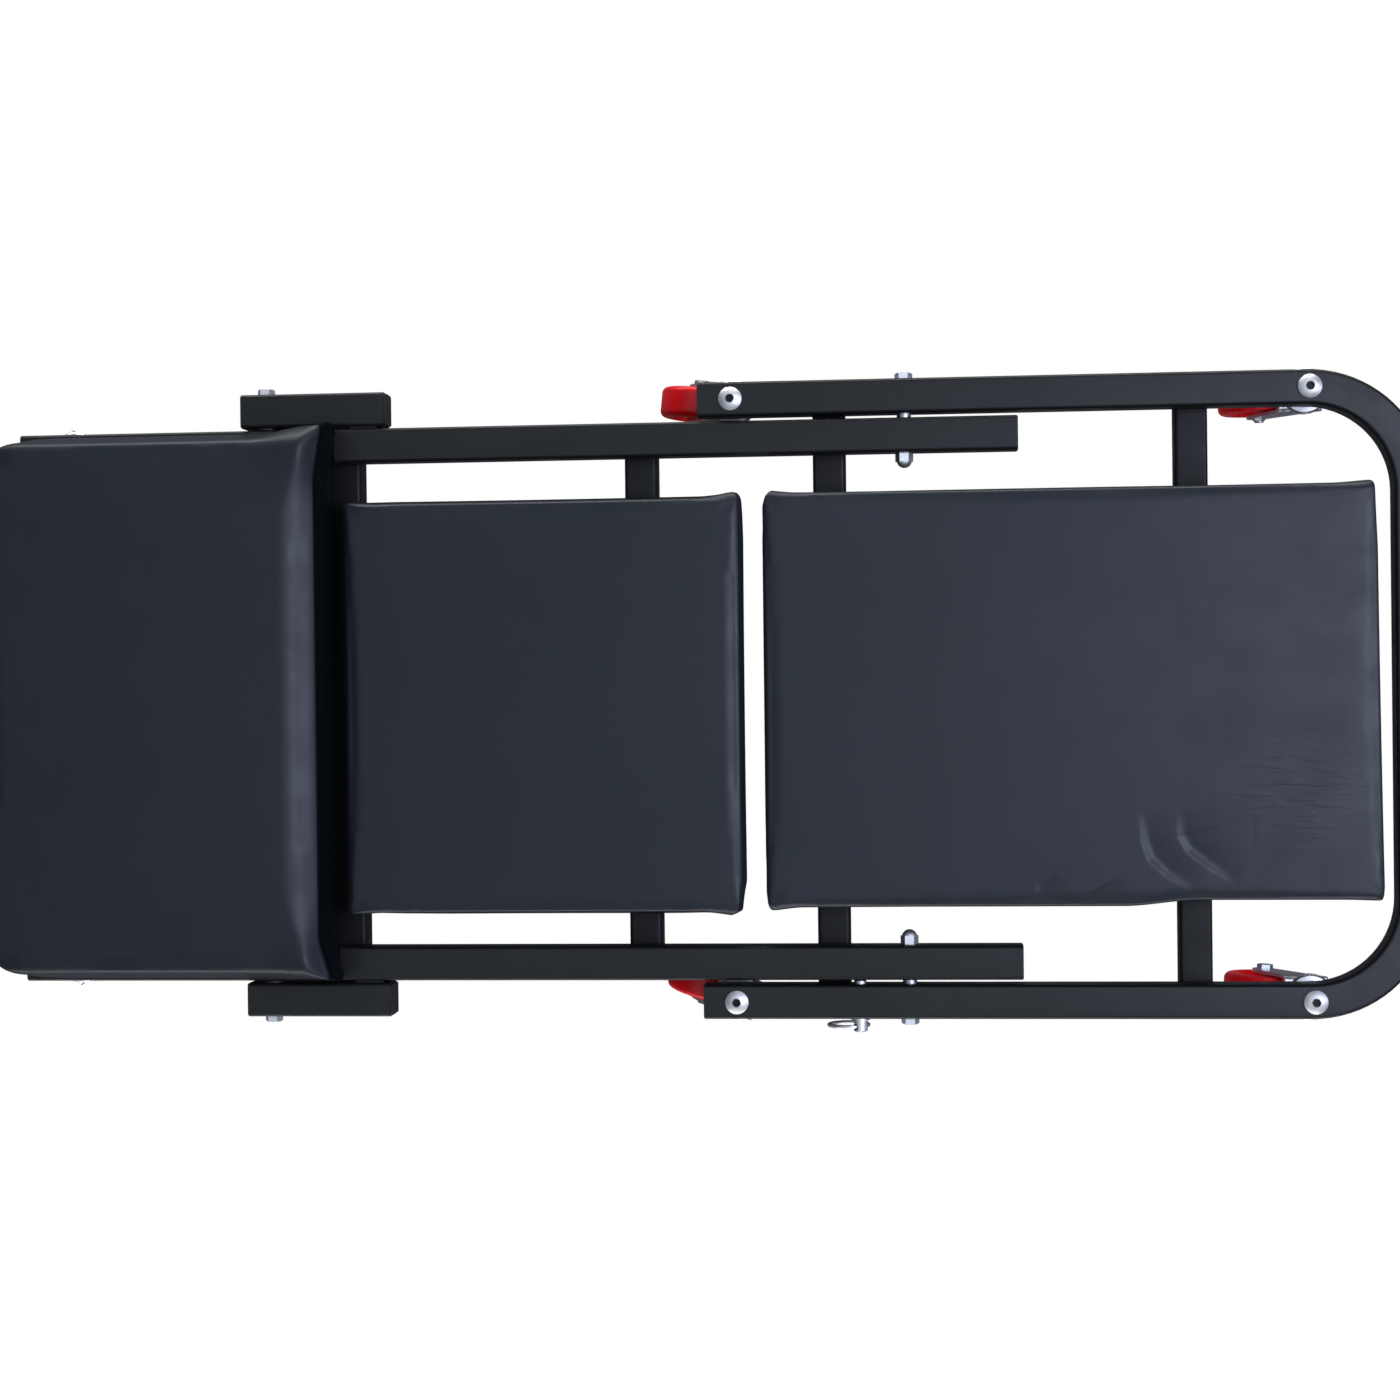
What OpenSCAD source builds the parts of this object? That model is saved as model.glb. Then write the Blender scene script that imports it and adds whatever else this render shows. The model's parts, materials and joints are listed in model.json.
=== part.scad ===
// Folding creeper and stool: three hinged frames of square tube, three pads and six swivel casters.
// It lies flat here, along X, with the seat at -X and the closed end of the base frame at +X.
// The origin is on the floor, under the middle of the part. Sizes are in millimetres.

/* [Square tube] */
// Outer width of the frame tubes
tube_w = 22; // [18:1:26]
// Wall of every square tube
tube_wall = 1.5; // [1:0.1:2.5]
// Outer width of the four cross bars, under the rails
bar_w = 21; // [16:1:24]
// Outer corner radius of every square tube
tube_r = 2.5; // [2:0.5:3.5]

/* [Base frame] */
// Outer width of the base frame, across its two rails
base_w = 410; // [380:5:440]
// Length of the base frame, from its open rail ends to the outside of its closed end
base_l = 461.5; // [450:0.5:480]
// Outside of the closed end of the base frame, from the origin
foot_x = 462; // [455:0.5:470]
// Middle-line radius of the two bends
bend_r = 65; // [50:1:80]
// Underside of the tube frames above the floor
frame_z = 65; // [64:1:80]
// Centre of the outer base bar, from the outside of the closed end
outer_bar_in = 146; // [130:0.5:180]

/* [Fold] */
// Fold pivot, from the open ends of the base rails
fold_in = 132.5; // [128:0.5:138]
// Distance between the fold pivot and the seat pivot
fold_span = 417.5; // [405:0.5:425]
// Distance from each pivot to the near side of the bar that stops it
stop_reach = 38.5; // [37.5:0.5:42]
// Height of both pivots above the underside of the tubes
pivot_h = 11; // [10:0.5:12]
// Side gap between the base rails and the middle rails
fold_gap = 3; // [2:0.5:4]
// Side gap between the middle rails and the link tubes
link_gap = 1.5; // [1:0.1:2.5]

/* [Middle frame] */
// Reach of the middle rails past the fold pivot, with their caps
mid_tail = 72.5; // [60:0.5:74]
// Seat end of the middle rails, with their caps, from the seat pivot
mid_head = 47; // [44:0.5:52]
// Centre of the inner middle bar, from the fold pivot
mid_bar_in = 172; // [165:1:190]
// Reach of the link tubes past the seat pivot, with their caps
link_head = 15; // [12:0.5:20]
// Inner ends of the link tubes, with their caps, from the seat pivot
link_reach = 81; // [76:0.5:86]

/* [Seat frame] */
// Front ends of the seat tubes, with their caps, from the seat pivot
seat_head = 163.5; // [155:0.5:170]
// Reach of the seat tubes past the seat pivot, with their caps
seat_tail = 41.5; // [38:0.5:45]
// Centre of the front cross tube of the seat, from the seat pivot
seat_cross_front_in = 100.5; // [85:0.5:106]
// Centre of the rear cross tube of the seat, from the seat pivot
seat_cross_rear_in = 35.5; // [30:0.5:55]

/* [Pads] */
// Thickness of the three boards
board_t = 9; // [6:0.5:12]
// Width of the large pad
base_pad_w = 267; // [240:1:280]
// Width of the middle pad
mid_pad_w = 272; // [240:1:280]
// Sideways place of the middle pad, which is fitted a little off the middle
mid_pad_y = -2.5; // [-4:0.5:4]
// Height of the middle pad and of the large pad, board included
pad_h = 31; // [24:1:36]
// Left edge of the large pad, from the open ends of the base rails
base_pad_in = 41; // [36:0.5:60]
// Right edge of the large pad, from the outside of the closed end
base_pad_foot_in = 33; // [30:0.5:60]
// Gap between the middle pad and the large pad
pad_gap = 14.5; // [10:0.5:25]
// How far the middle pad laps over the bar beside the seat
mid_pad_lap = 6.5; // [3:0.5:9]
// How far the seat cushion stands out past the front ends of its tubes
seat_pad_nose = 14; // [8:0.5:20]
// How far the seat cushion stands out past the rear ends of its tubes
seat_pad_rear = 2; // [1:0.5:4]
// How far the sides of the seat cushion stand in from the outsides of its tubes
seat_pad_in = 1; // [0.5:0.5:8]
// Height of the seat cushion, board included
seat_pad_h = 51; // [40:1:60]
// Radius of the two front corners of the seat cushion
seat_front_r = 26; // [20:1:50]
// How far the sides of a pad pull in between its corners
pad_draw = 2.5; // [1:0.5:4]

/* [Casters] */
// Wheel diameter
wheel_d = 52; // [44:1:52]
// Wheel width over its tread
wheel_w = 20; // [16:1:22]
// Distance from the swivel axis to the wheel axle
trail = 25; // [20:0.5:25]
// Swivel axis of the two middle casters, from the open ends of the base rails
caster_in = 21.5; // [18:0.5:26]
// Swivel axis of the two foot casters, from the outside of the closed end
caster_foot_in = 74; // [70:1:90]
// Swivel axis of the two seat casters, from the front ends of the seat tubes
caster_seat_in = 28; // [22:0.5:34]
// Diameter of the swivel race
race_d = 30; // [28:1:32]
// Thickness of the fork's sheet steel
fork_t = 2.2; // [1.8:0.1:2.6]
// Bearing balls in each swivel
ball_count = 10; // [6:1:12]

/* [Fasteners] */
// Shank diameter of the caster bolts and the lock pin
bolt_d = 8; // [6:0.5:8]
// Width across the flats of the caster nuts
king_af = 13; // [11:0.5:13]
// Shank diameter of the pivot bolts
pivot_d = 6; // [5:0.5:7]
// Width across the flats of the pivot bolts and their dome nuts
pivot_af = 10; // [9:0.5:11]
// Diameter of the round caster bolt heads
button_d = 15; // [13:0.5:16]
// Lock pin, from the fold pivot towards the seat
lock_in = 32; // [28:1:34]
// Middle-line radius of the pull ring
ring_r = 12.75; // [10:0.25:14]
// Wire diameter of the pull ring
ring_wire = 2.5; // [2:0.1:3]

/* [Hidden] */

$fn = 48;

// Clearances
fit = 0.06;       // radial, a shaft that turns in its bore
loose = 0.2;      // radial, a bolt or screw in a clearance hole
thread_gap = 0.02; // radial, a nut on its bolt
turn_gap = 0.3;   // between parts that turn past each other
plug_gap = 0.15;  // around a cap's plug
past = 1;         // how far a cut runs on past what it cuts

// Places worked out from the sizes above
half = tube_w / 2;
tube_z = frame_z + half;
top_z = frame_z + tube_w;
bar_half = bar_w / 2;
bar_z = frame_z - bar_half;
pivot_z = frame_z + pivot_h;
base_x0 = foot_x - base_l;
fold_x = base_x0 + fold_in;
seat_x = fold_x - fold_span;
base_y = base_w / 2 - half;
mid_y = base_y - tube_w - fold_gap;
link_y = mid_y + tube_w + link_gap;
inner_bar_x = fold_x - stop_reach - bar_half;
outer_bar_x = foot_x - outer_bar_in;
seat_bar_x = seat_x + stop_reach + bar_half;
mid_x0 = seat_x + mid_head;
mid_x1 = fold_x + mid_tail;
mid_bar_x = fold_x - mid_bar_in;
link_x0 = seat_x - link_head;
link_x1 = seat_x + link_reach;
seat_tube_x0 = seat_x - seat_head;
seat_tube_x1 = seat_x + seat_tail;
seat_cross_front_x = seat_x - seat_cross_front_in;
seat_cross_rear_x = seat_x - seat_cross_rear_in;
lock_x = fold_x - lock_in;
lock_y = -(base_w / 2);

// Edges of the pads
base_pad_x0 = base_x0 + base_pad_in;
base_pad_x1 = foot_x - base_pad_foot_in;
mid_pad_x0 = seat_bar_x + bar_half - mid_pad_lap;
mid_pad_x1 = base_pad_x0 - pad_gap;
seat_pad_x0 = seat_tube_x0 - seat_pad_nose;
seat_pad_x1 = seat_tube_x1 + seat_pad_rear;
seat_pad_w = 2 * (mid_y + half - seat_pad_in);

// End caps
cap_t = 1.5;
cap_plug = 8;
link_cap_t = 3.5;
weld_l = 18;
weld_in = 10;

// Bolt heads and nuts
head_h = 4.2;
pivot_nut_h = 5.5;
dome_h = 4;
dome_band = 2;
nut_h = 6.5;
button_h = 4.2;
bolt_r = bolt_d / 2;
spacer_band = 1.6;
washer_band = 6;
king_r = king_af / 2 / cos(30);
pivot_r = pivot_d / 2;
pivot_hex_r = pivot_af / 2 / cos(30);

// Casters: heights run down from the frame to the floor
axle_z = wheel_d / 2;
axle_r = 3;
race_r = race_d / 2;
race_collar_h = 2;
race_plate_h = 2.7;
race_gap = 0.8;
ball_r = 1.5;
ball_pitch_r = 10;
plate_z = frame_z - race_collar_h - race_plate_h - race_gap;
ball_z = plate_z + race_gap / 2;
fork_half = wheel_w / 2 + 1;
hub_half = fork_half - turn_gap;
caster_seat_x = seat_tube_x0 + caster_seat_in;

// Swivel axis and heading of each caster: x, y, angle from +X to its wheel
MID_LEFT = [base_x0 + caster_in, base_y, 174];
MID_RIGHT = [base_x0 + caster_in, -base_y, 164];
FOOT_LEFT = [foot_x - caster_foot_in, base_y, 182];
FOOT_RIGHT = [foot_x - caster_foot_in, -base_y, 177];
SEAT_LEFT = [caster_seat_x, mid_y, -30];
SEAT_RIGHT = [caster_seat_x, -mid_y, 35];
BASE_CASTERS = [MID_LEFT, MID_RIGHT, FOOT_LEFT, FOOT_RIGHT];
SEAT_CASTERS = [SEAT_LEFT, SEAT_RIGHT];

// Tabs under the edge of the middle board
tab_l = 24;
tab_w = 32;
tab_t = 3;
tab_x = seat_bar_x + bar_half + tab_l / 2;

// Boards and their screws
board_in = 4;
board_r = 2;
screw_r = 3;
screw_head_r = 6;
screw_head_h = 3;
screw_bite = 6;
cross_w = 1.3;
cross_l = 6.4;
cross_deep = 1.8;
pad_screw_y = 90;
seat_screw_y = 110;
bolt_relief_r = button_d / 2 + 1.5;
bolt_relief_h = button_h + 0.8;

// Tube shapes

module rounded_square(w, r) {
    square([w - 2 * r, w], center = true);
    square([w, w - 2 * r], center = true);
    for (sx = [-1, 1], sy = [-1, 1])
        translate([sx * (w / 2 - r), sy * (w / 2 - r)]) circle(r);
}

module tube_section(w = tube_w) {
    difference() {
        rounded_square(w, tube_r);
        rounded_square(w - 2 * tube_wall, max(tube_r - tube_wall, 0.5));
    }
}

// A tube along X, from x0 to x1
module tube_x(x0, x1, y, z) {
    translate([x0, y, z]) rotate([90, 0, 90]) linear_extrude(x1 - x0) tube_section();
}

// A tube along Y, from -reach to reach
module tube_y(x, z, reach, w = tube_w) {
    translate([x, reach, z]) rotate([90, 0, 0]) linear_extrude(2 * reach) tube_section(w);
}

// A push-in cap on a tube end that faces +X, its lip starting at x = 0
module tube_cap(lip, w = tube_w) {
    rotate([90, 0, 90]) {
        linear_extrude(lip * 0.6) rounded_square(w, tube_r);
        linear_extrude(lip) rounded_square(w - lip * 0.6, tube_r - lip * 0.2);
        translate([0, 0, -cap_plug]) linear_extrude(cap_plug)
            rounded_square(w - 2 * (tube_wall + plug_gap), max(tube_r - tube_wall, 0.5));
    }
}

// Caps on both ends of a bar along Y
module bar_caps(x, reach) {
    for (s = [-1, 1])
        translate([x, s * (reach - cap_t), bar_z]) rotate([0, 0, s * 90]) tube_cap(cap_t, bar_w);
}

// A hole along Y through everything at one place
module hole_y(x, z, r) {
    translate([x, 0, z]) rotate([90, 0, 0]) cylinder(r = r, h = base_w + 2 * past, center = true);
}

// A hole along Z through everything at one place
module hole_z(x, y, r) {
    translate([x, y, -past]) cylinder(r = r, h = top_z + seat_pad_h + 2 * past);
}

// Fasteners

// A hexagon pivot bolt along +Y: the underside of its head is at y = 0, its shank runs to -length
module hex_bolt(length) {
    rotate([-90, 0, 0]) {
        intersection() {
            cylinder(r = pivot_hex_r, h = head_h, $fn = 6);
            rotate_extrude() polygon([
                [0, 0], [pivot_hex_r, 0], [pivot_hex_r, head_h - 0.8],
                [pivot_hex_r - 1.2, head_h], [0, head_h]
            ]);
        }
        translate([0, 0, -length]) cylinder(r = pivot_r, h = length);
    }
}

// A dome nut on a pivot bolt along -Y: its seat is at y = 0
module dome_nut() {
    dome_r = pivot_r + dome_band;
    rotate([90, 0, 0]) difference() {
        union() {
            cylinder(r = pivot_hex_r, h = pivot_nut_h, $fn = 6);
            translate([0, 0, pivot_nut_h]) rotate_extrude() intersection() {
                translate([0, dome_h - dome_r]) circle(dome_r);
                square([dome_r, dome_h]);
            }
        }
        translate([0, 0, -past]) cylinder(r = pivot_r + thread_gap, h = pivot_nut_h + 2 * past);
    }
}

// The caster's king bolt: button head on the rail, shank down through the swivel
module king_bolt(head_z) {
    shank_end = plate_z - fork_t - nut_h - 1.8;
    difference() {
        translate([0, 0, head_z]) rotate_extrude() intersection() {
            translate([0, button_h - 12]) circle(12, $fn = 96);
            square([button_d / 2, button_h]);
        }
        translate([0, 0, head_z + button_h - 2.4]) cylinder(r = 5 / 2 / cos(30), h = 5, $fn = 6);
    }
    translate([0, 0, shank_end]) cylinder(r = bolt_r, h = head_z - shank_end);
}

module king_nut() {
    translate([0, 0, plate_z - fork_t - turn_gap - nut_h]) difference() {
        cylinder(r = king_r, h = nut_h, $fn = 6);
        translate([0, 0, -past]) cylinder(r = bolt_r + thread_gap, h = nut_h + 2 * past);
    }
}

// A pan-head screw from below: head under z, point inside the board
module board_screw(z, length) {
    translate([0, 0, z - screw_head_h]) difference() {
        rotate_extrude() polygon([
            [0, 0], [screw_head_r - 1.2, 0], [screw_head_r, 1.4],
            [screw_head_r, screw_head_h], [screw_r, screw_head_h],
            [screw_r, screw_head_h + length - 2], [0.6, screw_head_h + length],
            [0, screw_head_h + length]
        ]);
        for (turn = [0, 90]) rotate([0, 0, turn])
            translate([-cross_l / 2, -cross_w / 2, -past]) cube([cross_l, cross_w, cross_deep + past]);
    }
}

// Caster parts, each with its swivel axis at the origin and its wheel towards +X

module caster_race() {
    difference() {
        rotate_extrude() polygon([
            [bolt_r + loose, plate_z + race_gap], [race_r - 1, plate_z + race_gap],
            [race_r, plate_z + race_gap + 0.8], [race_r - 1.2, plate_z + race_gap + 2],
            [race_r - 4, frame_z - race_collar_h], [race_r - 4, frame_z], [bolt_r + loose, frame_z]
        ]);
        ball_groove();
    }
}

module ball_groove() {
    translate([0, 0, ball_z]) rotate_extrude()
        translate([ball_pitch_r, 0]) circle(ball_r + 0.05);
}

module caster_balls() {
    for (i = [0 : ball_count - 1])
        rotate([0, 0, i * 360 / ball_count]) translate([ball_pitch_r, 0, ball_z]) sphere(ball_r);
}

// Side view of a fork leg: from the plate down and back to the round eye at the axle
module fork_side() {
    eye_r = 8;
    drop = plate_z - axle_z;
    front = race_r - 4;
    polygon([
        [-front, plate_z], [-front, plate_z - 4],
        tangent_point([-front, plate_z - 4], [trail, axle_z], eye_r, -1),
        [trail, axle_z],
        tangent_point([front + 7, plate_z - 4], [trail, axle_z], eye_r, 1),
        [front + 7, plate_z - 4], [front + 5, plate_z]
    ]);
    translate([trail, axle_z]) circle(eye_r);
}

// Where a line from p touches the circle of radius r about c, on the side that s picks
function tangent_point(p, c, r, s) =
    let (d = p - c, l = norm(d), base = atan2(d[1], d[0]), turn = acos(r / l))
    [c[0] + r * cos(base - s * turn), c[1] + r * sin(base - s * turn)];

// End view of the pressed fork: a channel with round shoulders
module fork_channel() {
    outer = fork_half + fork_t;
    shoulder = 4;
    difference() {
        union() {
            translate([-outer, -plate_z]) square([2 * outer, plate_z - shoulder]);
            translate([-outer + shoulder, -shoulder - 1])
                square([2 * (outer - shoulder), shoulder + 1]);
            for (s = [-1, 1]) translate([s * (outer - shoulder), -shoulder]) circle(shoulder);
        }
        translate([-fork_half, -plate_z - past])
            square([2 * fork_half, plate_z + past - fork_t - shoulder / 2]);
        translate([-fork_half + shoulder / 2, -fork_t - shoulder])
            square([2 * fork_half - shoulder, shoulder]);
        for (s = [-1, 1])
            translate([s * (fork_half - shoulder / 2), -fork_t - shoulder / 2]) circle(shoulder / 2);
    }
}

module caster_fork() {
    reach = trail + axle_z;
    outer = fork_half + fork_t;
    difference() {
        union() {
            intersection() {
                translate([-race_r, 0, plate_z]) rotate([90, 0, 90])
                    linear_extrude(race_r + reach) fork_channel();
                translate([0, outer, 0]) rotate([90, 0, 0]) linear_extrude(2 * outer) fork_side();
            }
            translate([0, 0, plate_z - fork_t]) cylinder(r = race_r, h = fork_t);
        }
        hole_z(0, 0, bolt_r + fit);
        hole_y(trail, axle_z, axle_r + 0.05);
        ball_groove();
    }
}

module caster_axle() {
    outer = fork_half + fork_t;
    translate([trail, 0, axle_z]) rotate([90, 0, 0]) {
        cylinder(r = axle_r, h = 2 * outer + 5, center = true);
        translate([0, 0, outer]) cylinder(r = 5.2, h = 3, $fn = 6);
        translate([0, 0, -outer - 2.6]) rotate_extrude() intersection() {
            translate([0, 6]) circle(6);
            square([5, 2.6]);
        }
    }
}

// The wheel: a crowned tread, dished sides and a hub that runs between the fork legs
module caster_wheel() {
    rim_r = 4;
    translate([trail, 0, axle_z]) rotate([90, 0, 0]) difference() {
        rotate_extrude($fn = 72) difference() {
            union() {
                translate([0, -wheel_w / 2]) square([wheel_d / 2 - rim_r, wheel_w]);
                translate([0, -wheel_w / 2 + rim_r]) square([wheel_d / 2, wheel_w - 2 * rim_r]);
                for (s = [-1, 1])
                    translate([wheel_d / 2 - rim_r, s * (wheel_w / 2 - rim_r)]) circle(rim_r);
                translate([0, -hub_half]) square([8, 2 * hub_half]);
            }
            for (s = [-1, 1]) polygon([
                [8, s * (hub_half + 1)], [8.6, s * (wheel_w / 2 - 3)],
                [16.6, s * (wheel_w / 2 - 3)], [18.4, s * (wheel_w / 2)], [18.4, s * (hub_half + 1)]
            ]);
        }
        cylinder(r = axle_r + fit, h = 3 * wheel_w, center = true);
    }
}

module at_caster(place) {
    translate([place[0], place[1], 0]) rotate([0, 0, place[2]]) children();
}

// Cushions

quarter = 90;
roll_steps = 4;

// One corner's arc of a cushion outline, turned to corner number q
function corner_arc(a, b, r, q, steps) = [
    for (i = [0 : steps])
        let (t = (q + i / steps) * quarter, sx = (q == 0 || q == 3) ? 1 : -1, sy = q < 2 ? 1 : -1)
        [sx * (a - r) + r * cos(t), sy * (b - r) + r * sin(t)]
];

// Points along a straight side between two corners, without its ends
function side_points(p, q, steps) = [
    for (i = [1 : steps - 1]) p + (q - p) * i / steps
];

// Outline of a cushion: half length a, half width b, corner radii at the +X and -X ends
function cushion_outline(a, b, r_plus, r_minus, steps) =
    let (
        c0 = corner_arc(a, b, r_plus, 0, steps), c1 = corner_arc(a, b, r_minus, 1, steps),
        c2 = corner_arc(a, b, r_minus, 2, steps), c3 = corner_arc(a, b, r_plus, 3, steps)
    )
    concat(
        c0, side_points(c0[steps], c1[0], 9), c1, side_points(c1[steps], c2[0], 7),
        c2, side_points(c2[steps], c3[0], 9), c3, side_points(c3[steps], c0[0], 7)
    );

// The sides pull in between the corners: most at the middle of each side
function drawn_in(p, a, b, draw) = [
    p[0] * (1 - draw / a * (1 - pow(p[1] / b, 2))), p[1] * (1 - draw / b * (1 - pow(p[0] / a, 2)))
];

// One ring of a cushion, shrunk by inset and set at height z
function cushion_ring(a, b, r_plus, r_minus, draw, inset, z) =
    let (u = a - inset, v = b - inset)
    [
        for (p = cushion_outline(u, v, max(r_plus - inset, 0.5), max(r_minus - inset, 0.5), 4))
            let (q = drawn_in(p, u, v, draw)) [q[0], q[1], z]
    ];

// Rings over the top of a cushion, from its rolled edge to near its centre
function crown_ring(rim, share, z_rim, crown) = [
    for (p = rim) [p[0] * (1 - share), p[1] * (1 - share), z_rim + crown * (1 - pow(1 - share, 3))]
];

module cushion(x0, x1, w, y, z0, h, r_plus, r_minus, roll, crown) {
    a = (x1 - x0) / 2;
    b = w / 2;
    z_roll = z0 + h - crown - roll;
    rim_z = z_roll + roll;
    lower = [[1.6, z0], [0.4, z0 + 1.6], [0, z0 + (z_roll - z0) * 0.5], [0, z_roll]];
    rolled = [
        for (i = [1 : roll_steps])
            let (t = i / roll_steps * quarter) [roll * (1 - cos(t)), z_roll + roll * sin(t)]
    ];
    rim = cushion_ring(a, b, r_plus, r_minus, pad_draw, roll, rim_z);
    rings = concat(
        [for (s = concat(lower, rolled)) cushion_ring(a, b, r_plus, r_minus, pad_draw, s[0], s[1])],
        [for (share = [0.08, 0.2, 0.4, 0.7]) crown_ring(rim, share, rim_z, crown)]
    );
    n = len(rings[0]);
    m = len(rings);
    points = concat([for (ring = rings) each ring], [[0, 0, z0], [0, 0, rim_z + crown]]);
    faces = concat(
        [for (j = [0 : m - 2], i = [0 : n - 1]) [j * n + i, (j + 1) * n + i, j * n + (i + 1) % n]],
        [for (j = [0 : m - 2], i = [0 : n - 1])
            [j * n + (i + 1) % n, (j + 1) * n + i, (j + 1) * n + (i + 1) % n]],
        [for (i = [0 : n - 1]) [m * n, i, (i + 1) % n]],
        [for (i = [0 : n - 1]) [m * n + 1, (m - 1) * n + (i + 1) % n, (m - 1) * n + i]]
    );
    translate([(x0 + x1) / 2, y, 0]) polyhedron(points, faces);
}

// Outline of a board: a pad's outline set in all round, with radius r at its two -X corners
module board_outline(x0, x1, w, y, inset, r) {
    front = x0 + inset;
    side = w / 2 - inset;
    translate([front + r, y - side]) square([x1 - inset - front - r, 2 * side]);
    translate([front, y - side + r]) square([x1 - inset - front, 2 * (side - r)]);
    for (s = [-1, 1]) translate([front + r, y + s * (side - r)]) circle(r);
}

// The board under a pad, from the pad's own edges
module pad_board(x0, x1, w, y, z, r = board_r) {
    translate([0, 0, z]) linear_extrude(board_t) board_outline(x0, x1, w, y, board_in, r);
}

// The space that a board takes out of its cushion
module board_pocket(x0, x1, w, y, z, r = board_r) {
    translate([0, 0, z - past]) linear_extrude(board_t + past + turn_gap)
        board_outline(x0, x1, w, y, board_in - turn_gap, r + turn_gap);
}

// Base frame

module base_rails() {
    bend_x = foot_x - half - bend_r;
    bend_y = base_y - bend_r;
    for (s = [-1, 1]) {
        tube_x(base_x0 + cap_t, bend_x, s * base_y, tube_z);
        translate([bend_x, s * bend_y, tube_z]) rotate([0, 0, s > 0 ? 0 : -90])
            rotate_extrude(angle = 90, $fn = 96) translate([bend_r, 0]) tube_section();
    }
    tube_y(foot_x - half, tube_z, bend_y);
}

module base_frame() color([0.16, 0.17, 0.19]) difference() {
    base_rails();
    for (c = BASE_CASTERS) hole_z(c[0], c[1], bolt_r + loose);
    hole_y(fold_x, pivot_z, pivot_r + loose);
    translate([lock_x, -base_y, pivot_z]) rotate([90, 0, 0])
        cylinder(r = bolt_r + fit, h = tube_w + 2 * past, center = true);
}

// The bars end just short of the outsides of the rails
bar_short = 0.5;
base_bar_reach = base_w / 2 - bar_short;

module pad_screw_holes(x) {
    for (s = [-1, 1]) hole_z(x, s * pad_screw_y, screw_r + loose);
}

// Screw holes from below that stop inside the board
module board_holes(x) {
    for (s = [-1, 1]) translate([x, s * pad_screw_y, frame_z - past])
        cylinder(r = screw_r + plug_gap, h = screw_bite + past + 0.5);
}

module base_bar(x) color([0.14, 0.15, 0.17]) difference() {
    tube_y(x, bar_z, base_bar_reach - cap_t, bar_w);
    pad_screw_holes(x);
}
module base_bar_inner() base_bar(inner_bar_x);
module base_bar_outer() base_bar(outer_bar_x);

module base_end_caps() color([0.1, 0.1, 0.11]) {
    for (s = [-1, 1])
        translate([base_x0 + cap_t, s * base_y, tube_z]) rotate([0, 0, 180]) tube_cap(cap_t);
    for (x = [inner_bar_x, outer_bar_x]) bar_caps(x, base_bar_reach);
}

module base_pad_board() color([0.45, 0.33, 0.2]) difference() {
    pad_board(base_pad_x0, base_pad_x1, base_pad_w, 0, frame_z);
    for (x = [inner_bar_x, outer_bar_x]) board_holes(x);
}

module base_pad() color([0.2, 0.22, 0.27]) difference() {
    cushion(base_pad_x0, base_pad_x1, base_pad_w, 0, frame_z + 0.5, pad_h - 0.5, 4, 4, 5, 1.5);
    board_pocket(base_pad_x0, base_pad_x1, base_pad_w, 0, frame_z);
}

module base_pad_screws() color([0.72, 0.73, 0.75])
    for (x = [inner_bar_x, outer_bar_x], s = [-1, 1])
        translate([x, s * pad_screw_y, 0]) board_screw(frame_z - bar_w, bar_w + screw_bite);

module fold_pivot_bolts() color([0.8, 0.81, 0.83]) for (s = [-1, 1])
    translate([fold_x, s * base_w / 2, pivot_z]) rotate([0, 0, s > 0 ? 0 : 180])
        hex_bolt(2 * tube_w + fold_gap + turn_gap + pivot_nut_h);

module fold_pivot_spacers() color([0.6, 0.61, 0.63]) for (s = [-1, 1])
    translate([fold_x, s * (base_y - half), pivot_z]) rotate([s * 90, 0, 0]) difference() {
        cylinder(r = pivot_r + spacer_band, h = fold_gap - turn_gap);
        translate([0, 0, -past]) cylinder(r = pivot_r + loose, h = fold_gap + 2 * past);
    }

module inner_dome_nuts(x) {
    for (s = [-1, 1])
        translate([x, s * (mid_y - half - turn_gap), pivot_z]) rotate([0, 0, s > 0 ? 0 : 180])
            dome_nut();
}
module fold_pivot_nuts() color([0.82, 0.83, 0.85]) inner_dome_nuts(fold_x);

module base_caster_bolts() color([0.83, 0.84, 0.86])
    for (c = BASE_CASTERS) at_caster(c) king_bolt(top_z);
module base_caster_races() color([0.75, 0.76, 0.78])
    for (c = BASE_CASTERS) at_caster(c) caster_race();
module base_caster_balls() color([0.7, 0.71, 0.73])
    for (c = BASE_CASTERS) at_caster(c) caster_balls();
module base_caster_nuts() color([0.75, 0.76, 0.78])
    for (c = BASE_CASTERS) at_caster(c) king_nut();

// Lock pin and its pull ring

ring_tilt = 39;
ring_out = 6;
ring_room = 1.1;

module lock_pin() color([0.8, 0.81, 0.83]) difference() {
    translate([lock_x, lock_y, pivot_z]) rotate([90, 0, 0]) rotate_extrude() polygon([
        [0, -(tube_w + fold_gap - turn_gap)], [bolt_r - 1, -(tube_w + fold_gap - turn_gap)],
        [bolt_r, -(tube_w + fold_gap - turn_gap) + 1], [bolt_r, 0], [bolt_r + 2, 0],
        [bolt_r + 2, 1.5], [bolt_r + 0.5, 1.5], [bolt_r + 0.5, ring_out + 2.4],
        [bolt_r - 0.5, ring_out + 3.2], [0, ring_out + 3.2]
    ]);
    translate([lock_x, lock_y - ring_out, pivot_z]) rotate([0, ring_tilt, 0])
        rotate([0, 90, 0]) cylinder(r = ring_wire / 2 + ring_room, h = 4 * bolt_r, center = true);
}

module lock_ring() color([0.8, 0.81, 0.83])
    translate([lock_x, lock_y - ring_out, pivot_z]) rotate([0, ring_tilt, 0])
        translate([0, 0, -ring_r]) rotate([90, 0, 0]) rotate_extrude($fn = 72)
            translate([ring_r, 0]) circle(ring_wire / 2, $fn = 24);

// Middle frame

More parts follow.
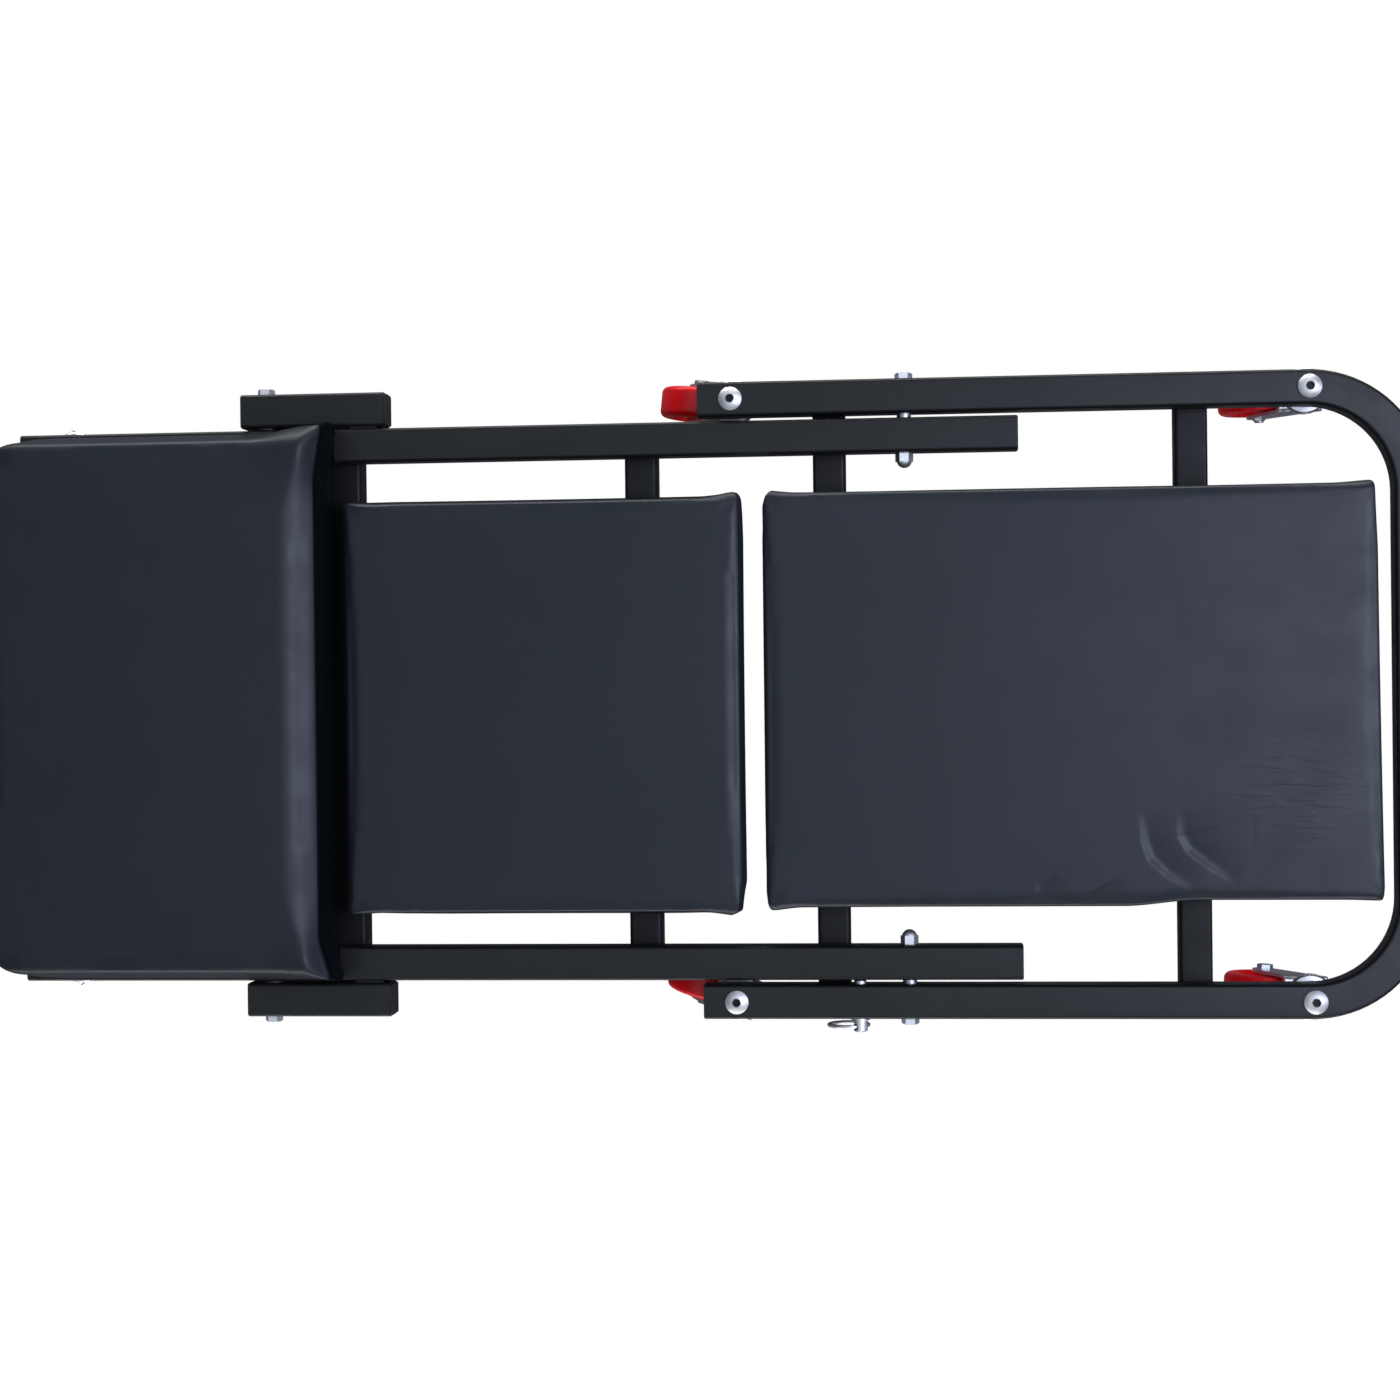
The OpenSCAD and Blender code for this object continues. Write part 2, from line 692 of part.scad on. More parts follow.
module middle_rail(s) {
    difference() {
        tube_x(mid_x0 + cap_t, mid_x1 - cap_t, s * mid_y, tube_z);
        hole_y(fold_x, pivot_z, pivot_r + fit);
        if (s < 0) hole_y(lock_x, pivot_z, bolt_r + loose);
    }
}
module middle_rail_left() color([0.16, 0.17, 0.18]) middle_rail(1);
module middle_rail_right() color([0.16, 0.17, 0.18]) middle_rail(-1);

mid_bar_reach = mid_y + half - bar_short;

module middle_bar_inner() color([0.13, 0.14, 0.15]) difference() {
    tube_y(mid_bar_x, bar_z, mid_bar_reach - cap_t, bar_w);
    pad_screw_holes(mid_bar_x);
}

// Two tabs on the bar beside the seat carry the edge of the board
module middle_bar_seat() color([0.13, 0.14, 0.15]) difference() {
    union() {
        tube_y(seat_bar_x, bar_z, mid_bar_reach - cap_t, bar_w);
        for (s = [-1, 1]) translate([seat_bar_x + bar_half - 1, s * pad_screw_y - tab_w / 2, frame_z - tab_t])
            cube([tab_l + 1, tab_w, tab_t]);
    }
    for (s = [-1, 1]) translate([tab_x, s * pad_screw_y, frame_z - tab_t - past])
        cylinder(r = screw_r + loose, h = tab_t + 2 * past);
}

module middle_end_caps() color([0.1, 0.1, 0.11]) {
    for (s = [-1, 1]) {
        translate([mid_x0 + cap_t, s * mid_y, tube_z]) rotate([0, 0, 180]) tube_cap(cap_t);
        translate([mid_x1 - cap_t, s * mid_y, tube_z]) tube_cap(cap_t);
    }
    for (x = [mid_bar_x, seat_bar_x]) bar_caps(x, mid_bar_reach);
}

module link_tubes() color([0.16, 0.17, 0.18]) difference() {
    for (s = [-1, 1]) tube_x(link_x0 + cap_t, link_x1 - link_cap_t, s * link_y, tube_z);
    hole_y(seat_x, pivot_z, pivot_r + loose);
}

module link_end_caps() color([0.1, 0.1, 0.11]) for (s = [-1, 1]) {
    translate([link_x0 + cap_t, s * link_y, tube_z]) rotate([0, 0, 180]) tube_cap(cap_t);
    translate([link_x1 - link_cap_t, s * link_y, tube_z]) tube_cap(link_cap_t);
}

module link_weld_strips() color([0.15, 0.16, 0.17]) for (s = [-1, 1])
    translate([mid_x0 + weld_in, s * (mid_y + link_y) / 2 - link_gap / 2, frame_z + tube_r])
        cube([weld_l, link_gap, tube_w - 2 * tube_r]);

module middle_pad_board() color([0.45, 0.33, 0.2]) difference() {
    pad_board(mid_pad_x0, mid_pad_x1, mid_pad_w, mid_pad_y, frame_z);
    for (x = [mid_bar_x, tab_x]) board_holes(x);
}

module middle_pad() color([0.2, 0.22, 0.27]) difference() {
    cushion(mid_pad_x0, mid_pad_x1, mid_pad_w, mid_pad_y, frame_z + 0.5, pad_h - 0.5, 4, 4, 5, 1.5);
    board_pocket(mid_pad_x0, mid_pad_x1, mid_pad_w, mid_pad_y, frame_z);
}

module middle_pad_screws() color([0.72, 0.73, 0.75]) for (s = [-1, 1]) {
    translate([mid_bar_x, s * pad_screw_y, 0]) board_screw(frame_z - bar_w, bar_w + screw_bite);
    translate([tab_x, s * pad_screw_y, 0]) board_screw(frame_z - tab_t, tab_t + screw_bite);
}

module seat_pivot_bolts() color([0.8, 0.81, 0.83]) for (s = [-1, 1])
    translate([seat_x, s * (link_y + half), pivot_z]) rotate([0, 0, s > 0 ? 0 : 180])
        hex_bolt(2 * tube_w + link_gap + turn_gap + pivot_nut_h);

module seat_pivot_washers() color([0.12, 0.12, 0.13]) for (s = [-1, 1])
    translate([seat_x, s * (link_y - half), pivot_z]) rotate([s * 90, 0, 0]) difference() {
        cylinder(r = pivot_r + washer_band, h = link_gap - turn_gap);
        translate([0, 0, -past]) cylinder(r = pivot_r + loose, h = link_gap + 2 * past);
    }

module seat_pivot_nuts() color([0.82, 0.83, 0.85]) inner_dome_nuts(seat_x);

// Seat frame

module seat_tube(s) {
    difference() {
        tube_x(seat_tube_x0 + cap_t, seat_tube_x1 - cap_t, s * mid_y, tube_z);
        hole_y(seat_x, pivot_z, pivot_r + fit);
        hole_z(caster_seat_x, s * mid_y, bolt_r + loose);
    }
}
module seat_tube_left() color([0.16, 0.17, 0.18]) seat_tube(1);
module seat_tube_right() color([0.16, 0.17, 0.18]) seat_tube(-1);

module seat_screw_holes(z0, z1, r) {
    for (x = [seat_cross_front_x, seat_cross_rear_x], s = [-1, 1])
        translate([x, s * seat_screw_y, z0]) cylinder(r = r, h = z1 - z0);
}

module seat_cross_tubes() color([0.16, 0.17, 0.18]) difference() {
    for (x = [seat_cross_front_x, seat_cross_rear_x]) tube_y(x, tube_z, mid_y - half);
    seat_screw_holes(frame_z - past, top_z + past, screw_r + loose);
}

module seat_end_caps() color([0.1, 0.1, 0.11]) for (s = [-1, 1]) {
    translate([seat_tube_x0 + cap_t, s * mid_y, tube_z]) rotate([0, 0, 180]) tube_cap(cap_t);
    translate([seat_tube_x1 - cap_t, s * mid_y, tube_z]) tube_cap(cap_t);
}

// Room for the round heads of the seat's caster bolts
module bolt_reliefs() {
    for (c = SEAT_CASTERS)
        translate([c[0], c[1], top_z - past]) cylinder(r = bolt_relief_r, h = bolt_relief_h + past);
}

module seat_board() color([0.45, 0.33, 0.2]) difference() {
    pad_board(seat_pad_x0, seat_pad_x1, seat_pad_w, 0, top_z, seat_front_r - board_in);
    seat_screw_holes(top_z - past, top_z + screw_bite + 0.5, screw_r + plug_gap);
    bolt_reliefs();
}

module seat_cushion() color([0.2, 0.22, 0.27]) difference() {
    cushion(seat_pad_x0, seat_pad_x1, seat_pad_w, 0, top_z + 0.5, seat_pad_h - 0.5,
        5, seat_front_r, 14, 4);
    board_pocket(seat_pad_x0, seat_pad_x1, seat_pad_w, 0, top_z, seat_front_r - board_in);
    bolt_reliefs();
}

module seat_screws() color([0.72, 0.73, 0.75])
    for (x = [seat_cross_front_x, seat_cross_rear_x], s = [-1, 1])
        translate([x, s * seat_screw_y, 0]) board_screw(frame_z, tube_w + screw_bite);

module seat_caster_bolts() color([0.83, 0.84, 0.86])
    for (c = SEAT_CASTERS) at_caster(c) king_bolt(top_z);
module seat_caster_races() color([0.75, 0.76, 0.78])
    for (c = SEAT_CASTERS) at_caster(c) caster_race();
module seat_caster_balls() color([0.7, 0.71, 0.73])
    for (c = SEAT_CASTERS) at_caster(c) caster_balls();
module seat_caster_nuts() color([0.75, 0.76, 0.78])
    for (c = SEAT_CASTERS) at_caster(c) king_nut();

// The six casters

module fork_at(c) color([0.74, 0.75, 0.77]) at_caster(c) caster_fork();
module axle_at(c) color([0.7, 0.71, 0.73]) at_caster(c) caster_axle();
module wheel_at(c) color([0.85, 0.06, 0.09]) at_caster(c) caster_wheel();

base_frame();
base_bar_inner();
base_bar_outer();
base_end_caps();
base_pad_board();
base_pad();
base_pad_screws();
fold_pivot_bolts();
fold_pivot_spacers();
fold_pivot_nuts();
base_caster_bolts();
base_caster_races();
base_caster_balls();
base_caster_nuts();
lock_pin();
lock_ring();
middle_rail_left();
middle_rail_right();
middle_bar_inner();
middle_bar_seat();
middle_end_caps();
link_tubes();
link_end_caps();
link_weld_strips();
middle_pad_board();
middle_pad();
middle_pad_screws();
seat_pivot_bolts();
seat_pivot_washers();
seat_pivot_nuts();
seat_tube_left();
seat_tube_right();
seat_cross_tubes();
seat_end_caps();
seat_board();
seat_cushion();
seat_screws();
seat_caster_bolts();
seat_caster_races();
seat_caster_balls();
seat_caster_nuts();
fork_at(MID_LEFT);  // fork_mid_left
axle_at(MID_LEFT);  // axle_mid_left
wheel_at(MID_LEFT);  // wheel_mid_left
fork_at(MID_RIGHT);  // fork_mid_right
axle_at(MID_RIGHT);  // axle_mid_right
wheel_at(MID_RIGHT);  // wheel_mid_right
fork_at(FOOT_LEFT);  // fork_foot_left
axle_at(FOOT_LEFT);  // axle_foot_left
wheel_at(FOOT_LEFT);  // wheel_foot_left
fork_at(FOOT_RIGHT);  // fork_foot_right
axle_at(FOOT_RIGHT);  // axle_foot_right
wheel_at(FOOT_RIGHT);  // wheel_foot_right
fork_at(SEAT_LEFT);  // fork_seat_left
axle_at(SEAT_LEFT);  // axle_seat_left
wheel_at(SEAT_LEFT);  // wheel_seat_left
fork_at(SEAT_RIGHT);  // fork_seat_right
axle_at(SEAT_RIGHT);  // axle_seat_right
wheel_at(SEAT_RIGHT);  // wheel_seat_right
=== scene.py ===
"""Dresses the folding creeper and stool: padded cushions, welds, finishes, light and camera."""
import json
import logging
import math
from dataclasses import dataclass
from enum import Enum
from typing import Callable, Optional, Sequence

import bpy
from mathutils import Euler, Matrix, Vector


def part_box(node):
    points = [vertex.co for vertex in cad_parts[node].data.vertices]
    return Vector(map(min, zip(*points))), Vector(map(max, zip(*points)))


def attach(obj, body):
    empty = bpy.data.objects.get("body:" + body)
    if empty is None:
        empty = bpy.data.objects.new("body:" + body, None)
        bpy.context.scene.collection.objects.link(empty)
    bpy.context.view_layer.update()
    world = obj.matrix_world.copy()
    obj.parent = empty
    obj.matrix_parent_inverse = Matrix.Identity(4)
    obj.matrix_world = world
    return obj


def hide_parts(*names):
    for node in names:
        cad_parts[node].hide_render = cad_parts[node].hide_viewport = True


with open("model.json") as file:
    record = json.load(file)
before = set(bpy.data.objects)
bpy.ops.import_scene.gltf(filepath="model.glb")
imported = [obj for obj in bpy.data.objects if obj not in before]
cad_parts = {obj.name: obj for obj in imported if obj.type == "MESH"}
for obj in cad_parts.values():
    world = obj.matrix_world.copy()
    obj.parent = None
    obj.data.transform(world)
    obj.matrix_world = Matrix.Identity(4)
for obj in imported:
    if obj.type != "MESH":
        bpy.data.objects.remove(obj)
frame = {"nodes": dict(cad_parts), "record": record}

log = logging.getLogger("creeper")

Colour = tuple[float, float, float]
Point = tuple[float, float, float]
Pair = tuple[float, float]
EdgeTest = Callable[[Vector, Vector], bool]
Piece = bpy.types.Object
Socket = bpy.types.NodeSocket

# How near to a plane a point counts as on it, in metres
TOLERANCE = 0.001


# Modelling by hand


def deselect_all() -> None:
    """Leaves edit mode and clears the selection, because an operator acts on all that is selected."""
    if bpy.context.object and bpy.context.object.mode != "OBJECT":
        bpy.ops.object.mode_set(mode="OBJECT")
    bpy.ops.object.select_all(action="DESELECT")


def make_active(piece: Piece) -> None:
    """Selects one object alone and makes it the active one.

    Args:
        piece: The object to select.
    """
    deselect_all()
    piece.select_set(True)
    bpy.context.view_layer.objects.active = piece


def add_box(name: str, low: Sequence[float], high: Sequence[float]) -> Piece:
    """Adds a box between two corners, with its place in its mesh.

    Args:
        name: Name of the new object.
        low: Lowest corner, in metres.
        high: Highest corner, in metres.

    Returns:
        The new object.
    """
    deselect_all()
    centre = [(a + b) / 2 for a, b in zip(low, high)]
    bpy.ops.mesh.primitive_cube_add(size=1, location=centre)
    piece = bpy.context.object
    piece.name = name
    piece.scale = [b - a for a, b in zip(low, high)]
    bpy.ops.object.transform_apply(location=True, rotation=True, scale=True)
    return piece


def select_none(mesh: bpy.types.Mesh) -> None:
    """Clears the selection in a mesh, in object mode."""
    for group in (mesh.vertices, mesh.edges, mesh.polygons):
        group.foreach_set("select", [False] * len(group))


def select_edges(mesh: bpy.types.Mesh, wanted: EdgeTest) -> None:
    """Selects the edges whose two ends pass a test, and nothing else.

    Args:
        mesh: The mesh, in object mode.
        wanted: Told the edge's two ends, says whether it is selected.
    """
    select_none(mesh)
    for edge in mesh.edges:
        start, end = (mesh.vertices[i].co for i in edge.vertices)
        edge.select = wanted(start, end)


def bevel_edges(piece: Piece, wanted: EdgeTest, width: float, steps: int) -> None:
    """Rounds the edges that pass a test.

    Args:
        piece: The object to round.
        wanted: Told the edge's two ends, says whether it is rounded.
        width: Width of the bevel, in metres.
        steps: Segments of the bevel.
    """
    make_active(piece)
    bpy.ops.object.mode_set(mode="EDIT")
    bpy.ops.mesh.select_mode(type="EDGE")
    bpy.ops.object.mode_set(mode="OBJECT")
    select_edges(piece.data, wanted)
    bpy.ops.object.mode_set(mode="EDIT")
    bpy.ops.mesh.bevel(offset=width, segments=steps, profile=0.5, affect="EDGES")
    bpy.ops.object.mode_set(mode="OBJECT")


def smooth(piece: Piece, angle: float = 35) -> None:
    """Shades a piece smooth, apart from edges sharper than an angle.

    Args:
        piece: The object to shade.
        angle: The sharpest edge that is smoothed over, in degrees.
    """
    make_active(piece)
    bpy.ops.object.shade_smooth_by_angle(angle=math.radians(angle))


def outward(piece: Piece) -> None:
    """Merges doubled points and turns every face outwards.

    Args:
        piece: The object to clean.
    """
    make_active(piece)
    bpy.ops.object.mode_set(mode="EDIT")
    bpy.ops.mesh.select_all(action="SELECT")
    bpy.ops.mesh.remove_doubles(threshold=1e-6)
    bpy.ops.mesh.normals_make_consistent(inside=False)
    bpy.ops.object.mode_set(mode="OBJECT")


def dress(piece: Piece, material: bpy.types.Material) -> None:
    """Gives a piece one finish all over.

    Args:
        piece: The object to finish.
        material: Its material.
    """
    piece.data.materials.clear()
    piece.data.materials.append(material)


# Finishes


class NodeBench:
    """Builds one material's nodes by short calls."""

    def __init__(self, name: str) -> None:
        """Makes an empty node material with its shader.

        Args:
            name: Name of the material.
        """
        self.material = bpy.data.materials.new(name)
        self.material.use_nodes = True
        self.tree = self.material.node_tree
        self.tree.nodes.clear()
        self.output = self.tree.nodes.new("ShaderNodeOutputMaterial")
        self.shader = self.tree.nodes.new("ShaderNodeBsdfPrincipled")
        self.tree.links.new(self.shader.outputs["BSDF"], self.output.inputs["Surface"])
        self.place = self.tree.nodes.new("ShaderNodeTexCoord").outputs["Object"]

    def set(self, **values: object) -> None:
        """Sets the shader's own sockets, named with _ for each space."""
        for name, value in values.items():
            self.shader.inputs[name.replace("_", " ")].default_value = value

    def link(self, source: Socket, socket: str) -> None:
        """Feeds one of the shader's sockets."""
        self.tree.links.new(source, self.shader.inputs[socket])

    def stretched(self, scale: Sequence[float]) -> Socket:
        """Object coordinates, stretched for a pattern that runs one way.

        Args:
            scale: How much each axis is multiplied.

        Returns:
            The vector socket.
        """
        mapping = self.tree.nodes.new("ShaderNodeMapping")
        mapping.inputs["Scale"].default_value = scale
        self.tree.links.new(self.place, mapping.inputs["Vector"])
        return mapping.outputs["Vector"]

    def noise(
        self, scale: float, detail: float = 3, place: Optional[Socket] = None
    ) -> Socket:
        """A noise pattern.

        Args:
            scale: Waves in a metre.
            detail: Number of finer layers.
            place: Coordinates, or None for the plain object coordinates.

        Returns:
            The value socket.
        """
        node = self.tree.nodes.new("ShaderNodeTexNoise")
        node.inputs["Scale"].default_value = scale
        node.inputs["Detail"].default_value = detail
        self.tree.links.new(place or self.place, node.inputs["Vector"])
        return node.outputs["Fac"]

    def cells(self, scale: float) -> Socket:
        """A pattern of rounded cells, as of leather grain.

        Args:
            scale: Cells in a metre.

        Returns:
            The value socket.
        """
        node = self.tree.nodes.new("ShaderNodeTexVoronoi")
        node.feature = "SMOOTH_F1"
        node.inputs["Scale"].default_value = scale
        self.tree.links.new(self.place, node.inputs["Vector"])
        return node.outputs["Distance"]

    def near(self, place: Point, reach: float) -> Socket:
        """A soft spot around one place.

        Args:
            place: Its centre, in metres.
            reach: Where it has faded to nothing, in metres.

        Returns:
            The value socket, 1 at the centre.
        """
        node = self.tree.nodes.new("ShaderNodeVectorMath")
        node.operation = "DISTANCE"
        node.inputs[1].default_value = place
        self.tree.links.new(self.place, node.inputs[0])
        return self.ranged(node.outputs["Value"], 1, 0, 0, reach)

    def dimmed(self, colour: Socket, share: Socket) -> Socket:
        """Multiplies a colour by a value.

        Args:
            colour: The colour.
            share: 1 to leave it as it is, 0 for black.

        Returns:
            The colour socket.
        """
        node = self.tree.nodes.new("ShaderNodeVectorMath")
        node.operation = "SCALE"
        self.tree.links.new(colour, node.inputs["Vector"])
        self.tree.links.new(share, node.inputs["Scale"])
        return node.outputs["Vector"]

    def axis(self, name: str) -> Socket:
        """One of the object coordinates.

        Args:
            name: X, Y or Z.

        Returns:
            The value socket, in metres.
        """
        node = self.tree.nodes.new("ShaderNodeSeparateXYZ")
        self.tree.links.new(self.place, node.inputs["Vector"])
        return node.outputs[name]

    def times(self, first: Socket, second: Socket) -> Socket:
        """Multiplies two values.

        Args:
            first: The one value.
            second: The other.

        Returns:
            The value socket.
        """
        node = self.tree.nodes.new("ShaderNodeMath")
        node.operation = "MULTIPLY"
        self.tree.links.new(first, node.inputs[0])
        self.tree.links.new(second, node.inputs[1])
        return node.outputs["Value"]

    def ranged(
        self, source: Socket, low: float, high: float, start: float = 0.3, end: float = 0.7
    ) -> Socket:
        """Stretches a pattern's values to a new range.

        Args:
            source: The pattern.
            low: Value given where the pattern is at start or under.
            high: Value given where the pattern is at end or over.
            start: Low end of the pattern's own range.
            end: High end of the pattern's own range.

        Returns:
            The value socket.
        """
        node = self.tree.nodes.new("ShaderNodeMapRange")
        for name, value in (("From Min", start), ("From Max", end), ("To Min", low), ("To Max", high)):
            node.inputs[name].default_value = value
        self.tree.links.new(source, node.inputs["Value"])
        return node.outputs["Result"]

    def between(self, share: Socket, first: Colour, second: Colour) -> Socket:
        """Mixes two colours.

        Args:
            share: 0 for the first colour, 1 for the second.
            first: The first colour, linear.
            second: The second colour, linear.

        Returns:
            The colour socket.
        """
        node = self.tree.nodes.new("ShaderNodeMix")
        node.data_type = "RGBA"
        factor, colour_a, colour_b = node.inputs[0], node.inputs[6], node.inputs[7]
        colour_a.default_value = (*first, 1)
        colour_b.default_value = (*second, 1)
        self.tree.links.new(share, factor)
        return node.outputs[2]

    def relief(
        self, height: Socket, depth: float, strength: float, under: Optional[Socket] = None
    ) -> Socket:
        """Turns a pattern into relief.

        Args:
            height: The pattern.
            depth: Depth of the relief in metres.
            strength: 0 for none, 1 for all of it.
            under: A coarser relief that this one lies on.

        Returns:
            The normal socket.
        """
        node = self.tree.nodes.new("ShaderNodeBump")
        node.inputs["Distance"].default_value = depth
        node.inputs["Strength"].default_value = strength
        self.tree.links.new(height, node.inputs["Height"])
        if under is not None:
            self.tree.links.new(under, node.inputs["Normal"])
        return node.outputs["Normal"]


@dataclass(frozen=True)
class PowderCoat:
    """Satin black powder coat on steel, with fine orange peel and a little dust."""

    name: str
    colour: Colour = (0.0040, 0.0042, 0.0046)
    dusty: Colour = (0.0080, 0.0084, 0.0090)
    smoothest: float = 0.36
    roughest: float = 0.46
    gloss: float = 0.43

    def material(self) -> bpy.types.Material:
        """Builds the material.

        Returns:
            The material.
        """
        bench = NodeBench(self.name)
        bench.set(IOR=1.5, Specular_IOR_Level=self.gloss)
        patches = bench.noise(14, 4)
        bench.link(bench.between(bench.ranged(patches, 0, 1), self.colour, self.dusty), "Base Color")
        bench.link(bench.ranged(bench.noise(60, 5), self.smoothest, self.roughest), "Roughness")
        peel = bench.relief(bench.noise(420, 2), depth=0.00012, strength=0.35)
        grit = bench.relief(bench.noise(1600, 2), depth=0.00003, strength=0.3, under=peel)
        bench.link(grit, "Normal")
        return bench.material


@dataclass(frozen=True)
class Vinyl:
    """Dark slate vinyl cover with a fine leather grain.

    It is wrinkled around one place, and has painted shade on the rear wall of one cushion, darker and less
    glossy there, if these are given.
    """

    name: str
    colour: Colour = (0.0085, 0.0135, 0.0200)
    worn: Colour = (0.0110, 0.0160, 0.0235)
    gloss: float = 0.5
    wrinkled: Optional[Point] = None
    wrinkles_reach: float = 0.055
    wrinkles_strength: float = 0.28
    # Painted shade on one cushion's rear wall: where it starts, how dark it is and how much gloss is left
    # there
    shaded_wall_node: Optional[str] = None
    shaded_wall_inset: float = 0.0015
    shaded_wall_drop: float = 0.011
    shaded_wall_fade: float = 0.001
    painted_shade: float = 0.2
    shaded_wall_gloss: float = 0.04

    def material(self) -> bpy.types.Material:
        """Builds the material.

        Returns:
            The material.
        """
        bench = NodeBench(self.name)
        bench.set(IOR=1.46, Specular_IOR_Level=self.gloss)
        patches = bench.noise(9, 3)
        colour = bench.between(bench.ranged(patches, 0, 1), self.colour, self.worn)
        # Painted shade: the seat cushion's rear wall, in the shaded gap before the middle pad, is darkened
        # and made less glossy
        if self.shaded_wall_node:
            painted_shade_mask = self.back_panel(bench)
            colour = bench.dimmed(colour, bench.ranged(painted_shade_mask, 1, self.painted_shade, 0, 1))
            bench.link(bench.ranged(painted_shade_mask, self.gloss, self.shaded_wall_gloss, 0, 1), "Specular IOR Level")
        bench.link(colour, "Base Color")
        bench.link(bench.ranged(bench.noise(35, 4), 0.40, 0.50), "Roughness")
        soft = bench.relief(bench.noise(45, 3), depth=0.0006, strength=0.10)
        if self.wrinkled:
            soft = self.wrinkles(bench, soft)
        grain = bench.relief(bench.cells(950), depth=0.00012, strength=0.22, under=soft)
        pores = bench.relief(bench.noise(2600, 2), depth=0.00004, strength=0.2, under=grain)
        bench.link(pores, "Normal")
        return bench.material

    def wrinkles(self, bench: NodeBench, under: Socket) -> Socket:
        """Fine wrinkles along the part, which fade with the distance from one place.

        Args:
            bench: The material's nodes.
            under: The relief that they lie on.

        Returns:
            The normal socket.
        """
        share = bench.near(self.wrinkled, self.wrinkles_reach)
        folds = bench.noise(190, 2, bench.stretched((0.22, 1, 1)))
        height = bench.times(bench.ranged(folds, 0, 1, 0.5, 0.62), share)
        return bench.relief(height, depth=0.0006, strength=self.wrinkles_strength, under=under)

    def back_panel(self, bench: NodeBench) -> Socket:
        """Finds the wall at the rear end of one cushion, below its top edge, where shade is painted.

        Args:
            bench: The material's nodes.

        Returns:
            The value socket, 1 on that wall and 0 elsewhere.
        """
        _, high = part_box(self.shaded_wall_node)
        start, edge = high.x - self.shaded_wall_inset, high.z - self.shaded_wall_drop
        behind = bench.ranged(bench.axis("X"), 0, 1, start, start + self.shaded_wall_fade)
        below = bench.ranged(bench.axis("Z"), 1, 0, edge, edge + 2 * self.shaded_wall_fade)
        return bench.times(behind, below)


@dataclass(frozen=True)
class Zinc:
    """Zinc-plated steel: bright on bolts, duller on pressed sheet."""

    name: str
    colour: Colour = (0.90, 0.91, 0.93)
    stained: Colour = (0.76, 0.77, 0.79)
    smoothest: float = 0.20
    roughest: float = 0.36

    def shade(self, bench: NodeBench, colour: Socket) -> Socket:
        """Leaves plain plating as it is. Heads with sockets get painted shade inside them."""
        return colour

    def material(self) -> bpy.types.Material:
        """Builds the material.

        Returns:
            The material.
        """
        bench = NodeBench(self.name)
        bench.set(Metallic=1.0)
        stains = bench.ranged(bench.noise(150, 4), 0, 1, 0.45, 0.75)
        bench.link(self.shade(bench, bench.between(stains, self.colour, self.stained)), "Base Color")
        bench.link(bench.ranged(bench.noise(330, 4), self.smoothest, self.roughest), "Roughness")
        bench.link(bench.relief(bench.noise(900, 3), depth=0.00003, strength=0.25), "Normal")
        return bench.material


@dataclass(frozen=True)
class SocketHeads(Zinc):
    """Zinc-plated button heads, with painted shade inside their hexagon sockets."""

    node: str = "base_caster_bolts"
    head: float = 0.015
    socket: float = 0.0033
    socket_rim: float = 0.2
    depth: float = 0.0012
    socket_shade: float = 0.03

    def shade(self, bench: NodeBench, colour: Socket) -> Socket:
        """Paints shade into the sockets of the four heads, which stand at the corners of the bolts' box.

        Args:
            bench: The material's nodes.
            colour: The plating's colour.

        Returns:
            The colour socket.
        """
        low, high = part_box(self.node)
        inset = self.head / 2
        for x in (low.x + inset, high.x - inset):
            for y in (low.y + inset, high.y - inset):
                # Painted shade: each hexagon socket is darkened towards its middle, as its recess is shaded
                spot = bench.near((x, y, high.z - self.depth), self.socket)
                colour = bench.dimmed(colour, bench.ranged(spot, 1, self.socket_shade, 0, self.socket_rim))
        return colour


@dataclass(frozen=True)
class RedTyre:
    """Glossy red polyurethane with faint scuffs."""

    name: str
    colour: Colour = (0.97, 0.002, 0.008)
    scuffed: Colour = (0.74, 0.004, 0.008)

    def material(self) -> bpy.types.Material:
        """Builds the material.

        Returns:
            The material.
        """
        bench = NodeBench(self.name)
        bench.set(IOR=1.5, Specular_IOR_Level=0.4)
        scuffs = bench.ranged(bench.noise(240, 5, bench.stretched((1, 1, 0.3))), 0, 1, 0.52, 0.72)
        bench.link(bench.between(scuffs, self.colour, self.scuffed), "Base Color")
        bench.link(bench.ranged(bench.noise(120, 4), 0.26, 0.42), "Roughness")
        bench.link(bench.relief(bench.noise(700, 3), depth=0.00005, strength=0.2), "Normal")
        return bench.material


@dataclass(frozen=True)
class BlackPlastic:
    """Moulded black plastic with a spark-eroded texture."""

    name: str
    colour: Colour = (0.006, 0.006, 0.007)
    bloom: float = 1.7

    def material(self) -> bpy.types.Material:
        """Builds the material.

        Returns:
            The material.
        """
        bench = NodeBench(self.name)
        bench.set(IOR=1.48)
        pale = tuple(channel * self.bloom for channel in self.colour)
        patches = bench.ranged(bench.noise(80, 3), 0, 1)
        bench.link(bench.between(patches, self.colour, pale), "Base Color")
        bench.link(bench.ranged(bench.noise(200, 3), 0.42, 0.58), "Roughness")
        bench.link(bench.relief(bench.noise(1800, 2), depth=0.00005, strength=0.5), "Normal")
        return bench.material


